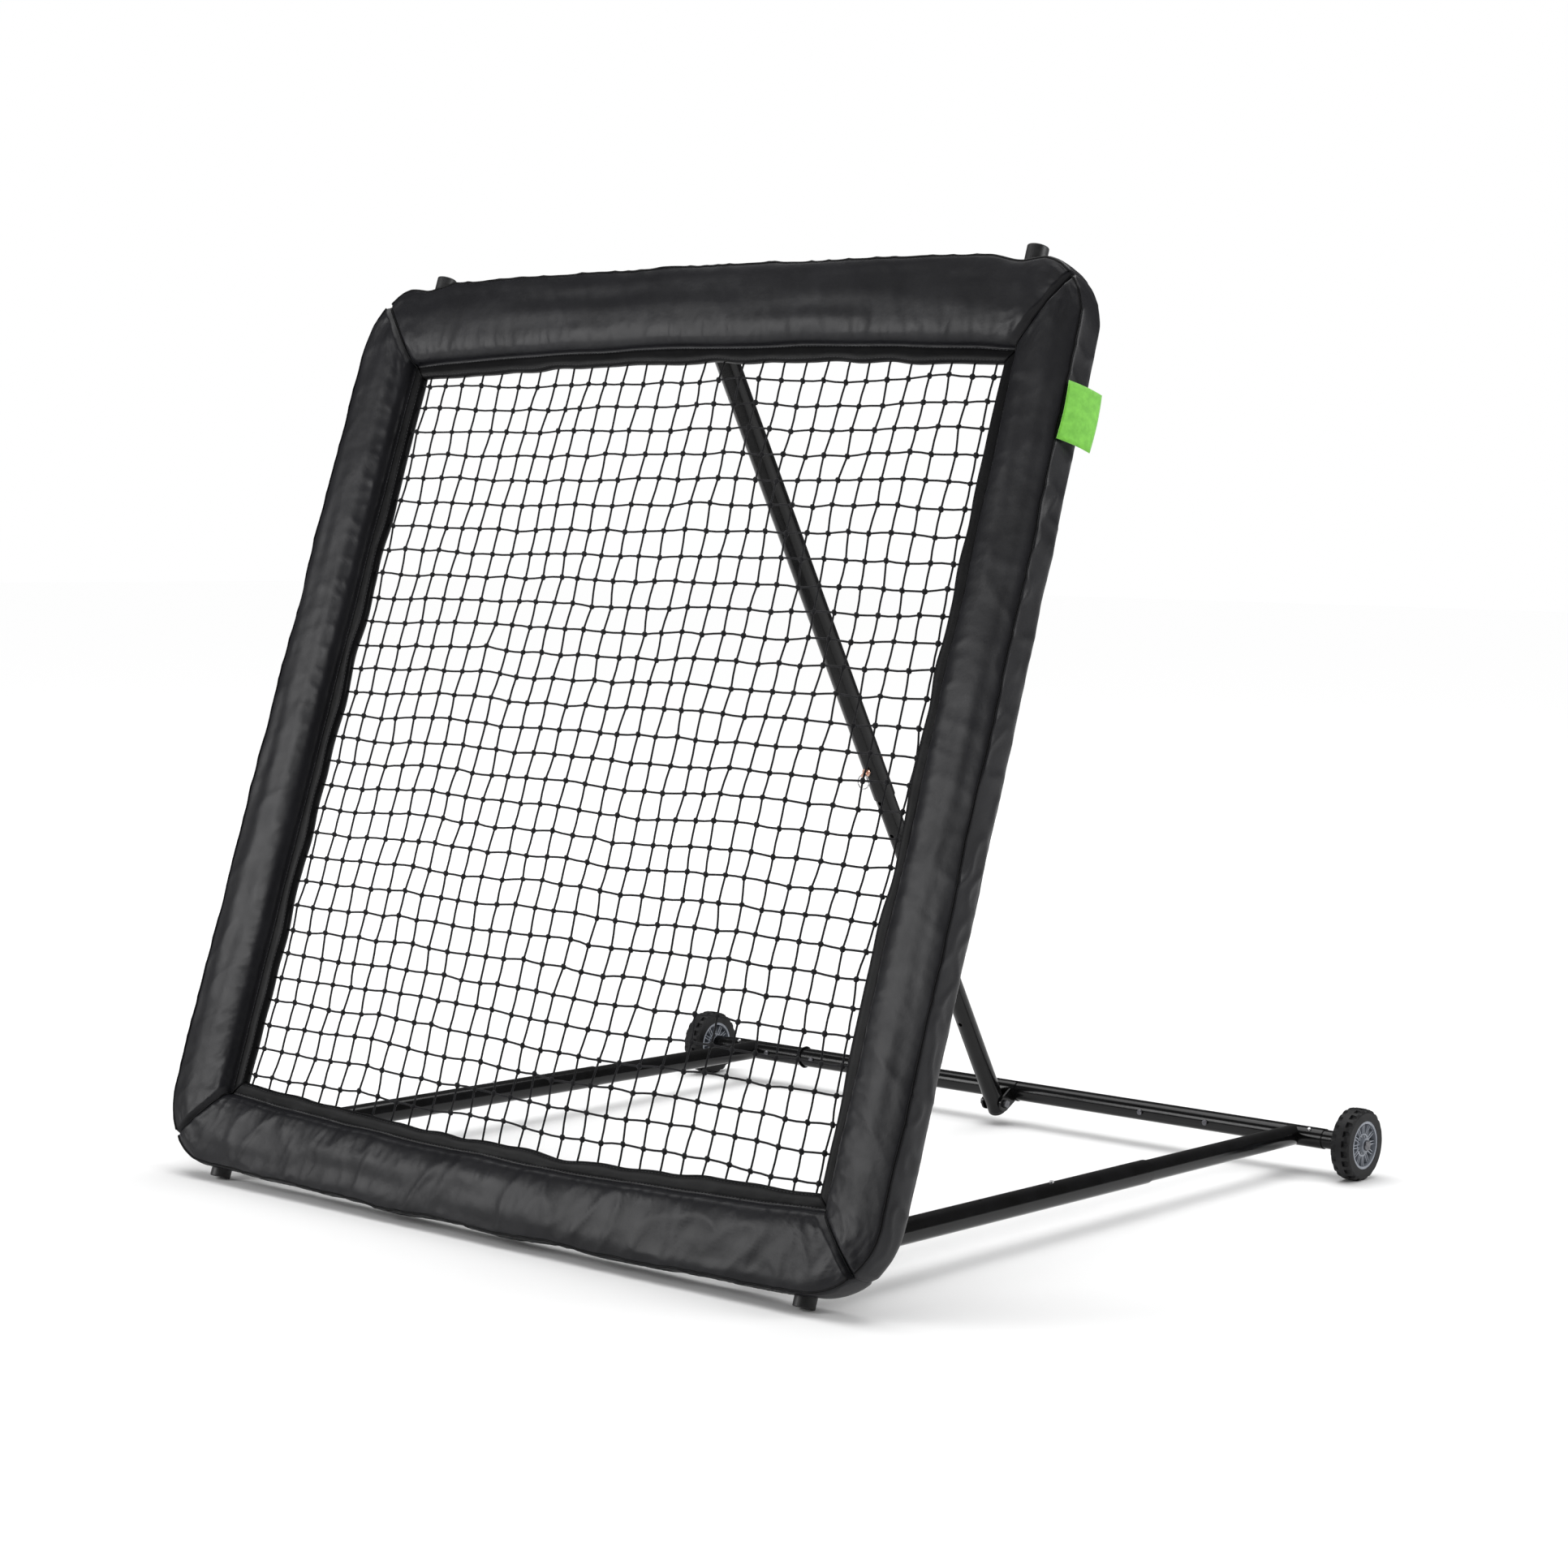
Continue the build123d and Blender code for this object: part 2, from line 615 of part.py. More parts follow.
def rear_corner(side, inner_x, bell):
    """The rear leg tube and its cross tube end, one weldment."""
    axis_point = Vector(0, cross_axis.Y, cross_axis.Z)
    inner = axis_point + Vector(side * inner_x, 0, 0)
    outer = axis_point + Vector(side * TEE_END, 0, 0)
    outboard = Vector(side, 0, 0)
    leg_start = on_leg(side, LEG_INNER_START)
    leg_end = on_leg(side, CROSS_BACK)
    leg_stop = on_leg(side, CROSS_BACK - TUBE_D / 2 - 1.0)
    with BuildPart() as corner:
        add_rod(inner, outer, TUBE_D)
        add_rod(leg_start, leg_end, TUBE_D)
        if bell:
            with BuildSketch(Plane(origin=inner, z_dir=outboard)):
                Circle(BELL_R)
            with BuildSketch(Plane(origin=inner + outboard * BELL_L, z_dir=outboard)):
                Circle(TUBE_D / 2)
            loft()
        add_rod(inner, outer, TUBE_BORE, Mode.SUBTRACT)
        add_rod(leg_start, leg_stop, TUBE_BORE, Mode.SUBTRACT)
        if bell:
            with BuildSketch(Plane(origin=inner, z_dir=outboard)):
                Circle(BELL_R - 2.0)
            with BuildSketch(Plane(origin=inner + outboard * (BELL_L - 1.0), z_dir=outboard)):
                Circle(TUBE_HOLD)
            loft(mode=Mode.SUBTRACT)
        button_at = on_leg(side, LEG_BUTTON)
        add_rod(button_at, on_leg(side, LEG_BUTTON, TUBE_D), 2 * slot_half, Mode.SUBTRACT)
        plug_button = axis_point + Vector(side * WHEEL_BUTTON, 0, 0)
        add_rod(plug_button, plug_button + BUTTON_LEAN * TUBE_D, 2 * slot_half, Mode.SUBTRACT)
        for x in CROSS_BOLTS:
            if x * side > 0:
                hole = axis_point + Vector(x, 0, 0)
                add_rod(hole - Vector(0, TUBE_D, 0), hole + Vector(0, TUBE_D, 0), 6.4, Mode.SUBTRACT)
    return corner.part


WHEEL_BUTTON = 698.0
BUTTON_LEAN = Vector(0, -sin(radians(35)), cos(radians(35)))  # up and a little to the front
keep(rear_corner(-1, TEE_LEFT_START, True), "rear_corner_left")
keep(rear_corner(1, TEE_RIGHT_START, False), "rear_corner_right")


def on_cross(x):
    return Vector(x, cross_axis.Y, cross_axis.Z)


with BuildPart() as cross_tube:
    left_end = on_cross(-TEE_LEFT_START - BELL_L + 1.6)
    right_end = on_cross(TEE_RIGHT_START - 0.2)
    add_rod(left_end, right_end, TUBE_D)
    add_rod(left_end, right_end, TUBE_BORE, Mode.SUBTRACT)
    for x in CROSS_BOLTS:
        hole = on_cross(x)
        add_rod(hole - Vector(0, TUBE_D, 0), hole + Vector(0, TUBE_D, 0), 6.4, Mode.SUBTRACT)
keep(cross_tube.part, "cross_tube")

for word, pair in (("left", CROSS_BOLTS[:2]), ("right", CROSS_BOLTS[2:])):
    with BuildPart() as joiner:
        start = on_cross(min(pair) - JOINER_REACH)
        end = on_cross(max(pair) + JOINER_REACH)
        add_rod(start, end, SPIGOT_D)
        add_rod(start, end, SPIGOT_BORE, Mode.SUBTRACT)
        for x in pair:
            hole = on_cross(x)
            add_rod(hole - Vector(0, TUBE_D, 0), hole + Vector(0, TUBE_D, 0), 6.4, Mode.SUBTRACT)
    keep(joiner.part, f"cross_joiner_{word}")

with BuildPart() as cross_bolts:
    for x in CROSS_BOLTS:
        front = on_cross(x) - Vector(0, TUBE_D / 2 + 0.1, 0)
        back = on_cross(x) + Vector(0, TUBE_D / 2 + 5.0, 0)
        add_rod(front, back, 6.0)
        add_rod(front - Vector(0, 4.0, 0), front, 11.0)
    heads = cross_bolts.edges().filter_by(GeomType.CIRCLE).group_by(Axis.Y)[0]
    fillet(heads, radius=1.6)
keep(cross_bolts.part, "cross_bolts")

with BuildPart() as cross_nuts:
    for x in CROSS_BOLTS:
        seat = on_cross(x) + Vector(0, TUBE_D / 2 + 0.1, 0)
        with BuildSketch(Plane(origin=seat, z_dir=(0, 1, 0))):
            RegularPolygon(5.6, 6)
            Circle(3.03, mode=Mode.SUBTRACT)
        extrude(amount=4.5)
keep(cross_nuts.part, "cross_nuts")

# ---- pivot bolts -------------------------------------------------------------------


def pivot_bolt(x_mid, centre, half_span, head_side):
    """A bolt across a clevis: its grip is half_span each way, head on one side."""
    grip = half_span + 0.3
    head_at = Vector(x_mid + head_side * grip, centre.Y, centre.Z)
    tail_at = Vector(x_mid - head_side * (grip + NUT_H + 1.5), centre.Y, centre.Z)
    add_rod(tail_at, head_at, 2 * BOLT_R)
    with BuildSketch(Plane(origin=head_at, z_dir=(head_side, 0, 0))) as head:
        RegularPolygon(BOLT_HEAD_R, 6)
    extrude(head.sketch, amount=BOLT_HEAD_H)


def pivot_nut(x_mid, centre, half_span, head_side):
    seat = Vector(x_mid - head_side * (half_span + 0.3), centre.Y, centre.Z)
    with BuildSketch(Plane(origin=seat, z_dir=(-head_side, 0, 0))) as nut:
        RegularPolygon(NUT_FLATS_R, 6)
        Circle(BOLT_R + 0.03, mode=Mode.SUBTRACT)
    extrude(nut.sketch, amount=NUT_H)


CLEVIS_HALF = SLEEVE_GAP / 2 + EAR_T
PROP_EAR_HALF = prop_gap / 2 + EAR_T

with BuildPart() as leg_pivot_bolts:
    for side in (-1, 1):
        pivot_bolt(side * LEG_SIDE, pivot, CLEVIS_HALF, side)
keep(leg_pivot_bolts.part, "leg_pivot_bolts")

with BuildPart() as leg_pivot_nuts:
    for side in (-1, 1):
        pivot_nut(side * LEG_SIDE, pivot, CLEVIS_HALF, side)
keep(leg_pivot_nuts.part, "leg_pivot_nuts")

with BuildPart() as prop_foot_bolt:
    pivot_bolt(0, prop_foot, PROP_EAR_HALF, 1)
keep(prop_foot_bolt.part, "prop_foot_bolt")

with BuildPart() as prop_foot_nut:
    pivot_nut(0, prop_foot, PROP_EAR_HALF, 1)
keep(prop_foot_nut.part, "prop_foot_nut")

with BuildPart() as prop_top_bolt:
    pivot_bolt(0, prop_top, CLEVIS_HALF + WASHER_T + 0.3, 1)
keep(prop_top_bolt.part, "prop_top_bolt")

with BuildPart() as prop_top_nut:
    pivot_nut(0, prop_top, CLEVIS_HALF + WASHER_T + 0.3, 1)
keep(prop_top_nut.part, "prop_top_nut")

with BuildPart() as prop_top_washers:
    for x in (-CLEVIS_HALF - 0.3 - WASHER_T, CLEVIS_HALF + 0.3):
        with BuildSketch(side_plane(x)):
            with Locations(yz(prop_top)):
                Circle(WASHER_R)
                Circle(BOLT_R + 0.03, mode=Mode.SUBTRACT)
        extrude(amount=WASHER_T)
keep(prop_top_washers.part, "prop_top_washers")

# ---- prop --------------------------------------------------------------------------

with BuildPart() as prop_lower_tube:
    start = on_prop(-12)
    end = on_prop(PROP_INNER_TOP)
    add_rod(start, end, TUBE_D)
    add_rod(start, end, TUBE_BORE, Mode.SUBTRACT)
    across = Vector(TUBE_D, 0, 0)
    add_rod(prop_foot - across, prop_foot + across, 2 * (BOLT_R + BOLT_FIT), Mode.SUBTRACT)
    slot_mid = (PROP_FIRST_HOLE + PROP_PIN) / 2
    with BuildSketch(Plane(origin=on_prop(slot_mid, -TUBE_D), x_dir=prop_dir, z_dir=prop_front)):
        SlotCenterToCenter(PROP_PIN - PROP_FIRST_HOLE, 2 * slot_half)
    extrude(amount=2 * TUBE_D, mode=Mode.SUBTRACT)
keep(prop_lower_tube.part, "prop_lower_tube")

with BuildPart() as prop_foot_cap:
    add_rod(on_prop(-12.2), on_prop(-22), TUBE_D)
    fillet(prop_foot_cap.edges().group_by(Axis(prop_foot, prop_dir))[0], radius=7.0)
    add_rod(on_prop(-12.3), on_prop(-7.0), TUBE_BORE - 0.3)
keep(prop_foot_cap.part, "prop_foot_cap")

with BuildPart() as prop_upper_tube:
    start = on_prop(PROP_MOUTH)
    end = on_prop(prop_length + 20)
    add_rod(start, end, SLEEVE_D)
    add_rod(start, end, SLEEVE_BORE, Mode.SUBTRACT)
    across = Vector(SLEEVE_D, 0, 0)
    add_rod(prop_top - across, prop_top + across, 2 * (BOLT_R + BOLT_FIT), Mode.SUBTRACT)
    pin_front = on_prop(PROP_PIN, SLEEVE_D)
    pin_back = on_prop(PROP_PIN, -SLEEVE_D)
    add_rod(pin_back, pin_front, 2 * (PIN_R + PIN_CLEAR), Mode.SUBTRACT)
keep(prop_upper_tube.part, "prop_upper_tube")

with BuildPart() as lock_pin:
    add_rod(on_prop(PROP_PIN, -28), on_prop(PROP_PIN, PIN_EYE + 4), 2 * PIN_R)
    add_rod(on_prop(PROP_PIN, 22), on_prop(PROP_PIN, 25.5), 4 * PIN_R)
    eye_at = on_prop(PROP_PIN, PIN_EYE)
    add_rod(eye_at - Vector(PIN_R * 2, 0, 0), eye_at + Vector(PIN_R * 2, 0, 0), 4.6, Mode.SUBTRACT)
    fillet(lock_pin.edges().group_by(Axis(prop_foot, prop_front))[0], radius=1.5)
keep(lock_pin.part, "lock_pin")

ring_centre = eye_at - Vector(0, 0, 1) * RING_R
with BuildPart() as pin_ring:
    with BuildSketch(Plane(origin=eye_at, x_dir=(0, 1, 0), z_dir=(1, 0, 0))):
        Circle(RING_WIRE)
    revolve(axis=Axis(ring_centre, (0, 1, 0)))
keep(pin_ring.part, "pin_ring")

# ---- spring buttons ----------------------------------------------------------------


def button(base, lean, rise):
    """A domed button that stands out of its hole along lean."""
    with BuildPart() as dome:
        add_rod(base + lean * (TUBE_BORE / 2 - 5.0), base + lean * rise, 2 * PIN_R)
        fillet(dome.edges().group_by(Axis(base, lean))[-1], radius=2.4)
    return dome.part


def leaf(base, lean, along):
    """The leaf spring under a button: two arms bent from one strip."""
    floor_r = TUBE_BORE / 2 - 0.8
    with BuildPart() as strip:
        plane = Plane(origin=base, x_dir=along, z_dir=along.cross(lean))
        with BuildSketch(plane):
            with BuildLine():
                Polyline(
                    (-8, 12.2),
                    (34, 12.2),
                    (52, -2),
                    (40, -floor_r + 4),
                    (0, -floor_r + 4),
                    (0, -floor_r + 5),
                    (39.4, -floor_r + 5),
                    (50.4, -2),
                    (33.5, 11.2),
                    (-8, 11.2),
                    close=True,
                )
            make_face()
        extrude(amount=4, both=True)
    return strip.part


for side, word in ((-1, "left"), (1, "right")):
    base = on_leg(side, LEG_BUTTON)
    lean = on_leg(side, LEG_BUTTON, 1.0) - base
    keep(button(base, lean, SLEEVE_D / 2 + 3.2), f"leg_button_{word}")
    keep(leaf(base, lean, leg_dir), f"leg_button_spring_{word}")
    wheel_base = on_cross(side * WHEEL_BUTTON)
    keep(button(wheel_base, BUTTON_LEAN, TUBE_D / 2 + 3.2), f"wheel_button_{word}")

# ---- wheels ------------------------------------------------------------------------


def wheel_plug(side):
    """The stub axle carrier that plugs into the cross tube's end."""
    inner = on_cross(side * PLUG_INNER_START)
    end = on_cross(side * PLUG_END)
    with BuildPart() as plug:
        add_rod(inner, end, PLUG_D)
        add_rod(inner, on_cross(side * (PLUG_END - 14)), PLUG_D - 4, Mode.SUBTRACT)
        add_rod(end, on_cross(side * (PLUG_END - 14)), 2 * AXLE_R + 0.04, Mode.SUBTRACT)
        hole = on_cross(side * WHEEL_BUTTON)
        add_rod(hole, hole + BUTTON_LEAN * TUBE_D, 2 * slot_half, Mode.SUBTRACT)
    return plug.part


def tyre(side):
    """A crowned tyre whose shoulders are cut into lugs."""
    centre = on_cross(side * WHEEL_MID)
    plane = Plane(origin=centre, x_dir=(1, 0, 0), z_dir=(0, -1, 0))
    half_w = TYRE_W / 2
    with BuildPart() as ring:
        with BuildSketch(plane):
            with BuildLine():
                Polyline(
                    (-half_w, RIM_R + 0.1),
                    (-half_w, WHEEL_R - 7),
                    (-half_w + 3, WHEEL_R - 1.5),
                    (-half_w + 9, WHEEL_R),
                    (half_w - 9, WHEEL_R),
                    (half_w - 3, WHEEL_R - 1.5),
                    (half_w, WHEEL_R - 7),
                    (half_w, RIM_R + 0.1),
                    close=True,
                )
            make_face()
        revolve(axis=Axis(centre, (1, 0, 0)))
        for hand, turn in ((-1, 0), (1, 180 / TREADS)):
            face = Plane(origin=centre + Vector(hand * half_w, 0, 0), x_dir=(0, 1, 0), z_dir=(1, 0, 0))
            with BuildSketch(face):
                with PolarLocations(WHEEL_R + GROOVE_OUT, TREADS, start_angle=turn):
                    Circle(GROOVE_R)
            extrude(amount=-hand * GROOVE_L, mode=Mode.SUBTRACT)
    return ring.part


def rim(side):
    """Hub, web, paired spokes and rim ring of one moulded wheel."""
    centre = on_cross(side * WHEEL_MID)
    face = Plane(origin=centre, x_dir=(0, 1, 0), z_dir=(1, 0, 0))
    with BuildPart() as disc:
        with BuildSketch(face):
            Circle(RIM_R)
            Circle(RIM_R - 4.5, mode=Mode.SUBTRACT)
        extrude(amount=TYRE_W / 2 - 1, both=True)
        with BuildSketch(face):
            Circle(RIM_R - 4)
        extrude(amount=2.5, both=True)
        with BuildSketch(face):
            Circle(HUB_R)
        extrude(amount=HUB_W / 2, both=True)
        with BuildSketch(face):
            Circle(21)
            Circle(18.5, mode=Mode.SUBTRACT)
            with PolarLocations(27.0, SPOKES):
                with Locations((0, 2.6), (0, -2.6)):
                    Rectangle(28.0, 1.8)
        extrude(amount=TYRE_W / 2 - 5, both=True)
        with BuildSketch(face):
            Circle(AXLE_R + BOLT_FIT)
        extrude(amount=HUB_W, both=True, mode=Mode.SUBTRACT)
    return disc.part


def axle(side):
    """The axle bolt, screwed into the plug, with its head outside the wheel."""
    head = side * (WHEEL_MID + HUB_W / 2 + 0.4)
    with BuildPart() as bolt:
        add_rod(on_cross(side * (PLUG_END - 13)), on_cross(head), 2 * AXLE_R)
        add_rod(on_cross(head), on_cross(head + side * 4.5), 19.0)
        fillet(bolt.edges().group_by(Axis(on_cross(0), (side, 0, 0)))[-1], radius=1.8)
    return bolt.part


for side, word in ((-1, "left"), (1, "right")):
    keep(wheel_plug(side), f"wheel_plug_{word}")
    keep(tyre(side), f"tyre_{word}")
    keep(rim(side), f"rim_{word}")
    keep(axle(side), f"axle_{word}")
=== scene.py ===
import json
import random
from math import cos, hypot, pi, radians, sin

import bmesh
import bpy
from mathutils import Matrix, Vector, noise


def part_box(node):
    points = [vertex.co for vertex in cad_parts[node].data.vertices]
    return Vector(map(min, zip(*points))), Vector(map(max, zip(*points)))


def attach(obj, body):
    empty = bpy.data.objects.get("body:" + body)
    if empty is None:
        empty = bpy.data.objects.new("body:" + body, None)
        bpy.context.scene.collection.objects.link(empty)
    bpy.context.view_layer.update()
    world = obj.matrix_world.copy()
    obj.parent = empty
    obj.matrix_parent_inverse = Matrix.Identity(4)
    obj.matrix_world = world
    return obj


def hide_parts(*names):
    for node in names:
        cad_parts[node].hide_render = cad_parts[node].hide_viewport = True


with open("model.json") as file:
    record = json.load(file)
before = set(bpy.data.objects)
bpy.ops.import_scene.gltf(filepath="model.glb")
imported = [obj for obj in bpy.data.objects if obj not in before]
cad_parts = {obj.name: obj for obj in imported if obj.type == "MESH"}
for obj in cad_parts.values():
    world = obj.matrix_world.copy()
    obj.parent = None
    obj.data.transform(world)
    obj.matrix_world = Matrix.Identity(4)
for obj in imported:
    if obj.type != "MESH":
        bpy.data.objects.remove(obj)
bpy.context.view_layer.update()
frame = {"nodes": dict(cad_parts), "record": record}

# Pitch back rebounder, in metres. The net frame leans back, so its pieces are placed by
# side (across), rise (up the leaning frame from the ground line) and front (out of it).

# ---- places taken from the frame ---------------------------------------------------

LEAN = radians(18.5)
ORIGIN_BACK = 0.737
UPWARD = Vector((0, sin(LEAN), cos(LEAN)))
FRONTWARD = Vector((0, -cos(LEAN), sin(LEAN)))

HALF = 0.6685  # half of the opening between the pads
OPENING_LOW = 0.177
OPENING_HIGH = OPENING_LOW + 2 * HALF
PAD_SIDE = 0.820
PAD_LOW = 0.026
PAD_HIGH = 1.688
CORNER_R = 0.125
FLOOR_CLEAR = 0.004

LEG_SIDE = 0.661


def at(side, rise, front=0.0):
    """A point of the leaning net frame in the world."""
    return Vector((side, -ORIGIN_BACK, 0)) + UPWARD * rise + FRONTWARD * front


def middle(node):
    low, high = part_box(node)
    return (Vector(low) + Vector(high)) / 2


# ---- materials ---------------------------------------------------------------------


def new_material(name, color, rough, metallic=0.0, coat=0.0, sheen=0.0):
    """A principled material whose constants sit on the shader's own sockets."""
    mat = bpy.data.materials.new(name)
    mat.use_nodes = True
    shader = mat.node_tree.nodes["Principled BSDF"]
    shader.inputs["Base Color"].default_value = (*color, 1)
    shader.inputs["Roughness"].default_value = rough
    shader.inputs["Metallic"].default_value = metallic
    shader.inputs["Coat Weight"].default_value = coat
    shader.inputs["Coat Roughness"].default_value = 0.12
    shader.inputs["Sheen Weight"].default_value = sheen
    shader.inputs["Sheen Roughness"].default_value = 0.45
    return mat, mat.node_tree, shader


def object_coords(tree):
    return tree.nodes.new("ShaderNodeTexCoord").outputs["Object"]


def noise_node(tree, scale, detail=4.0, rough=0.55):
    node = tree.nodes.new("ShaderNodeTexNoise")
    node.inputs["Scale"].default_value = scale
    node.inputs["Detail"].default_value = detail
    node.inputs["Roughness"].default_value = rough
    tree.links.new(object_coords(tree), node.inputs["Vector"])
    return node.outputs["Fac"]


def vary_color(tree, shader, fac, dark, light, low=0.35, high=0.68):
    """Blend two shades by a mask."""
    ramp = tree.nodes.new("ShaderNodeValToRGB")
    ramp.color_ramp.elements[0].position = low
    ramp.color_ramp.elements[0].color = (*dark, 1)
    ramp.color_ramp.elements[1].position = high
    ramp.color_ramp.elements[1].color = (*light, 1)
    tree.links.new(fac, ramp.inputs["Fac"])
    tree.links.new(ramp.outputs["Color"], shader.inputs["Base Color"])


def vary_roughness(tree, shader, fac, low, high):
    span = tree.nodes.new("ShaderNodeMapRange")
    span.inputs["To Min"].default_value = low
    span.inputs["To Max"].default_value = high
    tree.links.new(fac, span.inputs["Value"])
    tree.links.new(span.outputs["Result"], shader.inputs["Roughness"])


def add_bump(tree, shader, height, distance, strength=1.0):
    """Add one layer of relief, on top of any that is already there."""
    bump = tree.nodes.new("ShaderNodeBump")
    bump.inputs["Distance"].default_value = distance
    bump.inputs["Strength"].default_value = strength
    tree.links.new(height, bump.inputs["Height"])
    socket = shader.inputs["Normal"]
    if socket.is_linked:
        tree.links.new(socket.links[0].from_socket, bump.inputs["Normal"])
    tree.links.new(bump.outputs["Normal"], socket)


def coated_cloth(name, dark, light, gloss):
    """Coated pad cloth: fine plain weave, soft creases, satin gloss."""
    mat, tree, shader = new_material(name, light, 0.5)
    shader.inputs["Specular IOR Level"].default_value = gloss
    vary_color(tree, shader, noise_node(tree, 9.0), dark, light)
    vary_roughness(tree, shader, noise_node(tree, 24.0), 0.34, 0.46)
    add_bump(tree, shader, noise_node(tree, 9.0, 2.0, 0.4), 0.0022)
    add_bump(tree, shader, noise_node(tree, 60.0, 3.0, 0.5), 0.00035)
    for direction in ("X", "Z"):
        weave = tree.nodes.new("ShaderNodeTexWave")
        weave.bands_direction = direction
        weave.inputs["Scale"].default_value = 260.0
        weave.inputs["Distortion"].default_value = 0.4
        tree.links.new(object_coords(tree), weave.inputs["Vector"])
        add_bump(tree, shader, weave.outputs["Fac"], 0.00003, 0.4)
    return mat


def twisted_twine():
    mat, tree, shader = new_material("twine", (0.01, 0.01, 0.011), 0.75, sheen=0.04)
    shader.inputs["Specular IOR Level"].default_value = 0.2
    vary_color(tree, shader, noise_node(tree, 60.0), (0.004, 0.004, 0.005), (0.014, 0.014, 0.016))
    add_bump(tree, shader, noise_node(tree, 900.0, 2.0), 0.0006)
    return mat


def powder_coat():
    """Gloss black coat with a faint orange peel."""
    mat, tree, shader = new_material("powder_coat", (0.003, 0.003, 0.003), 0.2)
    shader.inputs["Specular IOR Level"].default_value = 0.27
    vary_color(tree, shader, noise_node(tree, 18.0), (0.002, 0.002, 0.002), (0.005, 0.005, 0.0055))
    vary_roughness(tree, shader, noise_node(tree, 70.0), 0.13, 0.22)
    add_bump(tree, shader, noise_node(tree, 420.0, 2.0), 0.00012, 0.5)
    return mat


def plated_metal(name, dark, light, rough):
    mat, tree, shader = new_material(name, light, rough, metallic=1.0)
    vary_color(tree, shader, noise_node(tree, 160.0), dark, light)
    vary_roughness(tree, shader, noise_node(tree, 300.0), rough - 0.07, rough + 0.12)
    add_bump(tree, shader, noise_node(tree, 1200.0, 2.0), 0.00006, 0.5)
    return mat


def moulded_plastic(name, dark, light, rough):
    mat, tree, shader = new_material(name, light, rough)
    vary_color(tree, shader, noise_node(tree, 45.0), dark, light)
    vary_roughness(tree, shader, noise_node(tree, 90.0), rough - 0.06, rough + 0.10)
    add_bump(tree, shader, noise_node(tree, 1500.0, 2.0), 0.00008, 0.5)
    return mat


def tyre_rubber():
    mat, tree, shader = new_material("tyre_rubber", (0.01, 0.01, 0.011), 0.7)
    shader.inputs["Specular IOR Level"].default_value = 0.25
    vary_color(tree, shader, noise_node(tree, 55.0), (0.003, 0.003, 0.0035), (0.011, 0.011, 0.012))
    vary_roughness(tree, shader, noise_node(tree, 110.0), 0.42, 0.66)
    add_bump(tree, shader, noise_node(tree, 700.0), 0.0003, 0.6)
    return mat


def woven_tag():
    mat, tree, shader = new_material("tag_cloth", (0.15, 0.5, 0.03), 0.6, sheen=0.3)
    vary_color(tree, shader, noise_node(tree, 90.0), (0.12, 0.43, 0.02), (0.18, 0.56, 0.04))
    add_bump(tree, shader, noise_node(tree, 1300.0, 2.0), 0.0003)
    return mat


cloth = coated_cloth("pad_cloth", (0.0045, 0.0045, 0.006), (0.0085, 0.0085, 0.0105), 0.23)
# darker, less glossy cloth for the welt and the mitre seams; on the inner flap the same dark cloth is
# painted shade along the opening's edge
binding_and_flap_shade = coated_cloth("seam_cloth_and_flap_shade", (0.002, 0.002, 0.0024), (0.004, 0.004, 0.0045), 0.09)
thread = moulded_plastic("thread", (0.02, 0.02, 0.022), (0.04, 0.04, 0.044), 0.6)
twine = twisted_twine()
coat = powder_coat()
zinc = plated_metal("zinc", (0.42, 0.42, 0.43), (0.62, 0.62, 0.63), 0.32)
bolt_steel = plated_metal("bolt_steel", (0.10, 0.10, 0.11), (0.20, 0.20, 0.21), 0.36)
pin_metal = plated_metal("pin_metal", (0.55, 0.33, 0.25), (0.78, 0.52, 0.42), 0.3)
cap_plastic = moulded_plastic("cap_plastic", (0.007, 0.007, 0.0075), (0.014, 0.014, 0.015), 0.45)
rim_plastic = moulded_plastic("rim_plastic", (0.19, 0.205, 0.235), (0.27, 0.29, 0.325), 0.42)
elastic = moulded_plastic("elastic", (0.02, 0.02, 0.021), (0.04, 0.04, 0.042), 0.7)
rubber = tyre_rubber()
tag_cloth = woven_tag()

SLOT_MATERIALS = {
    "black_coat": coat,
    "fastener_steel": bolt_steel,
    "bright_steel": zinc,
    "pin_metal": pin_metal,
    "cap_plastic": cap_plastic,
    "rim_plastic": rim_plastic,
    "tyre": rubber,
    "elastic": elastic,
    "pad_cover": cloth,
    "net_twine": twine,
    "tag_cloth": tag_cloth,
}


def dress_cad_nodes():
    for entry in frame["record"]["subparts"]:
        node = frame["nodes"][entry["node"]]
        node = bpy.data.objects[node] if isinstance(node, str) else node
        node.data.materials.clear()
        node.data.materials.append(SLOT_MATERIALS[entry["material_slot"]])


# ---- mesh helpers ------------------------------------------------------------------


def mesh_object(name, verts, faces, mat, smooth=True):
    mesh = bpy.data.meshes.new(name)
    mesh.from_pydata([tuple(v) for v in verts], [], faces)
    mesh.update()
    obj = bpy.data.objects.new(name, mesh)
    bpy.context.scene.collection.objects.link(obj)
    mesh.materials.append(mat)
    mesh.polygons.foreach_set("use_smooth", [smooth] * len(mesh.polygons))
    return obj


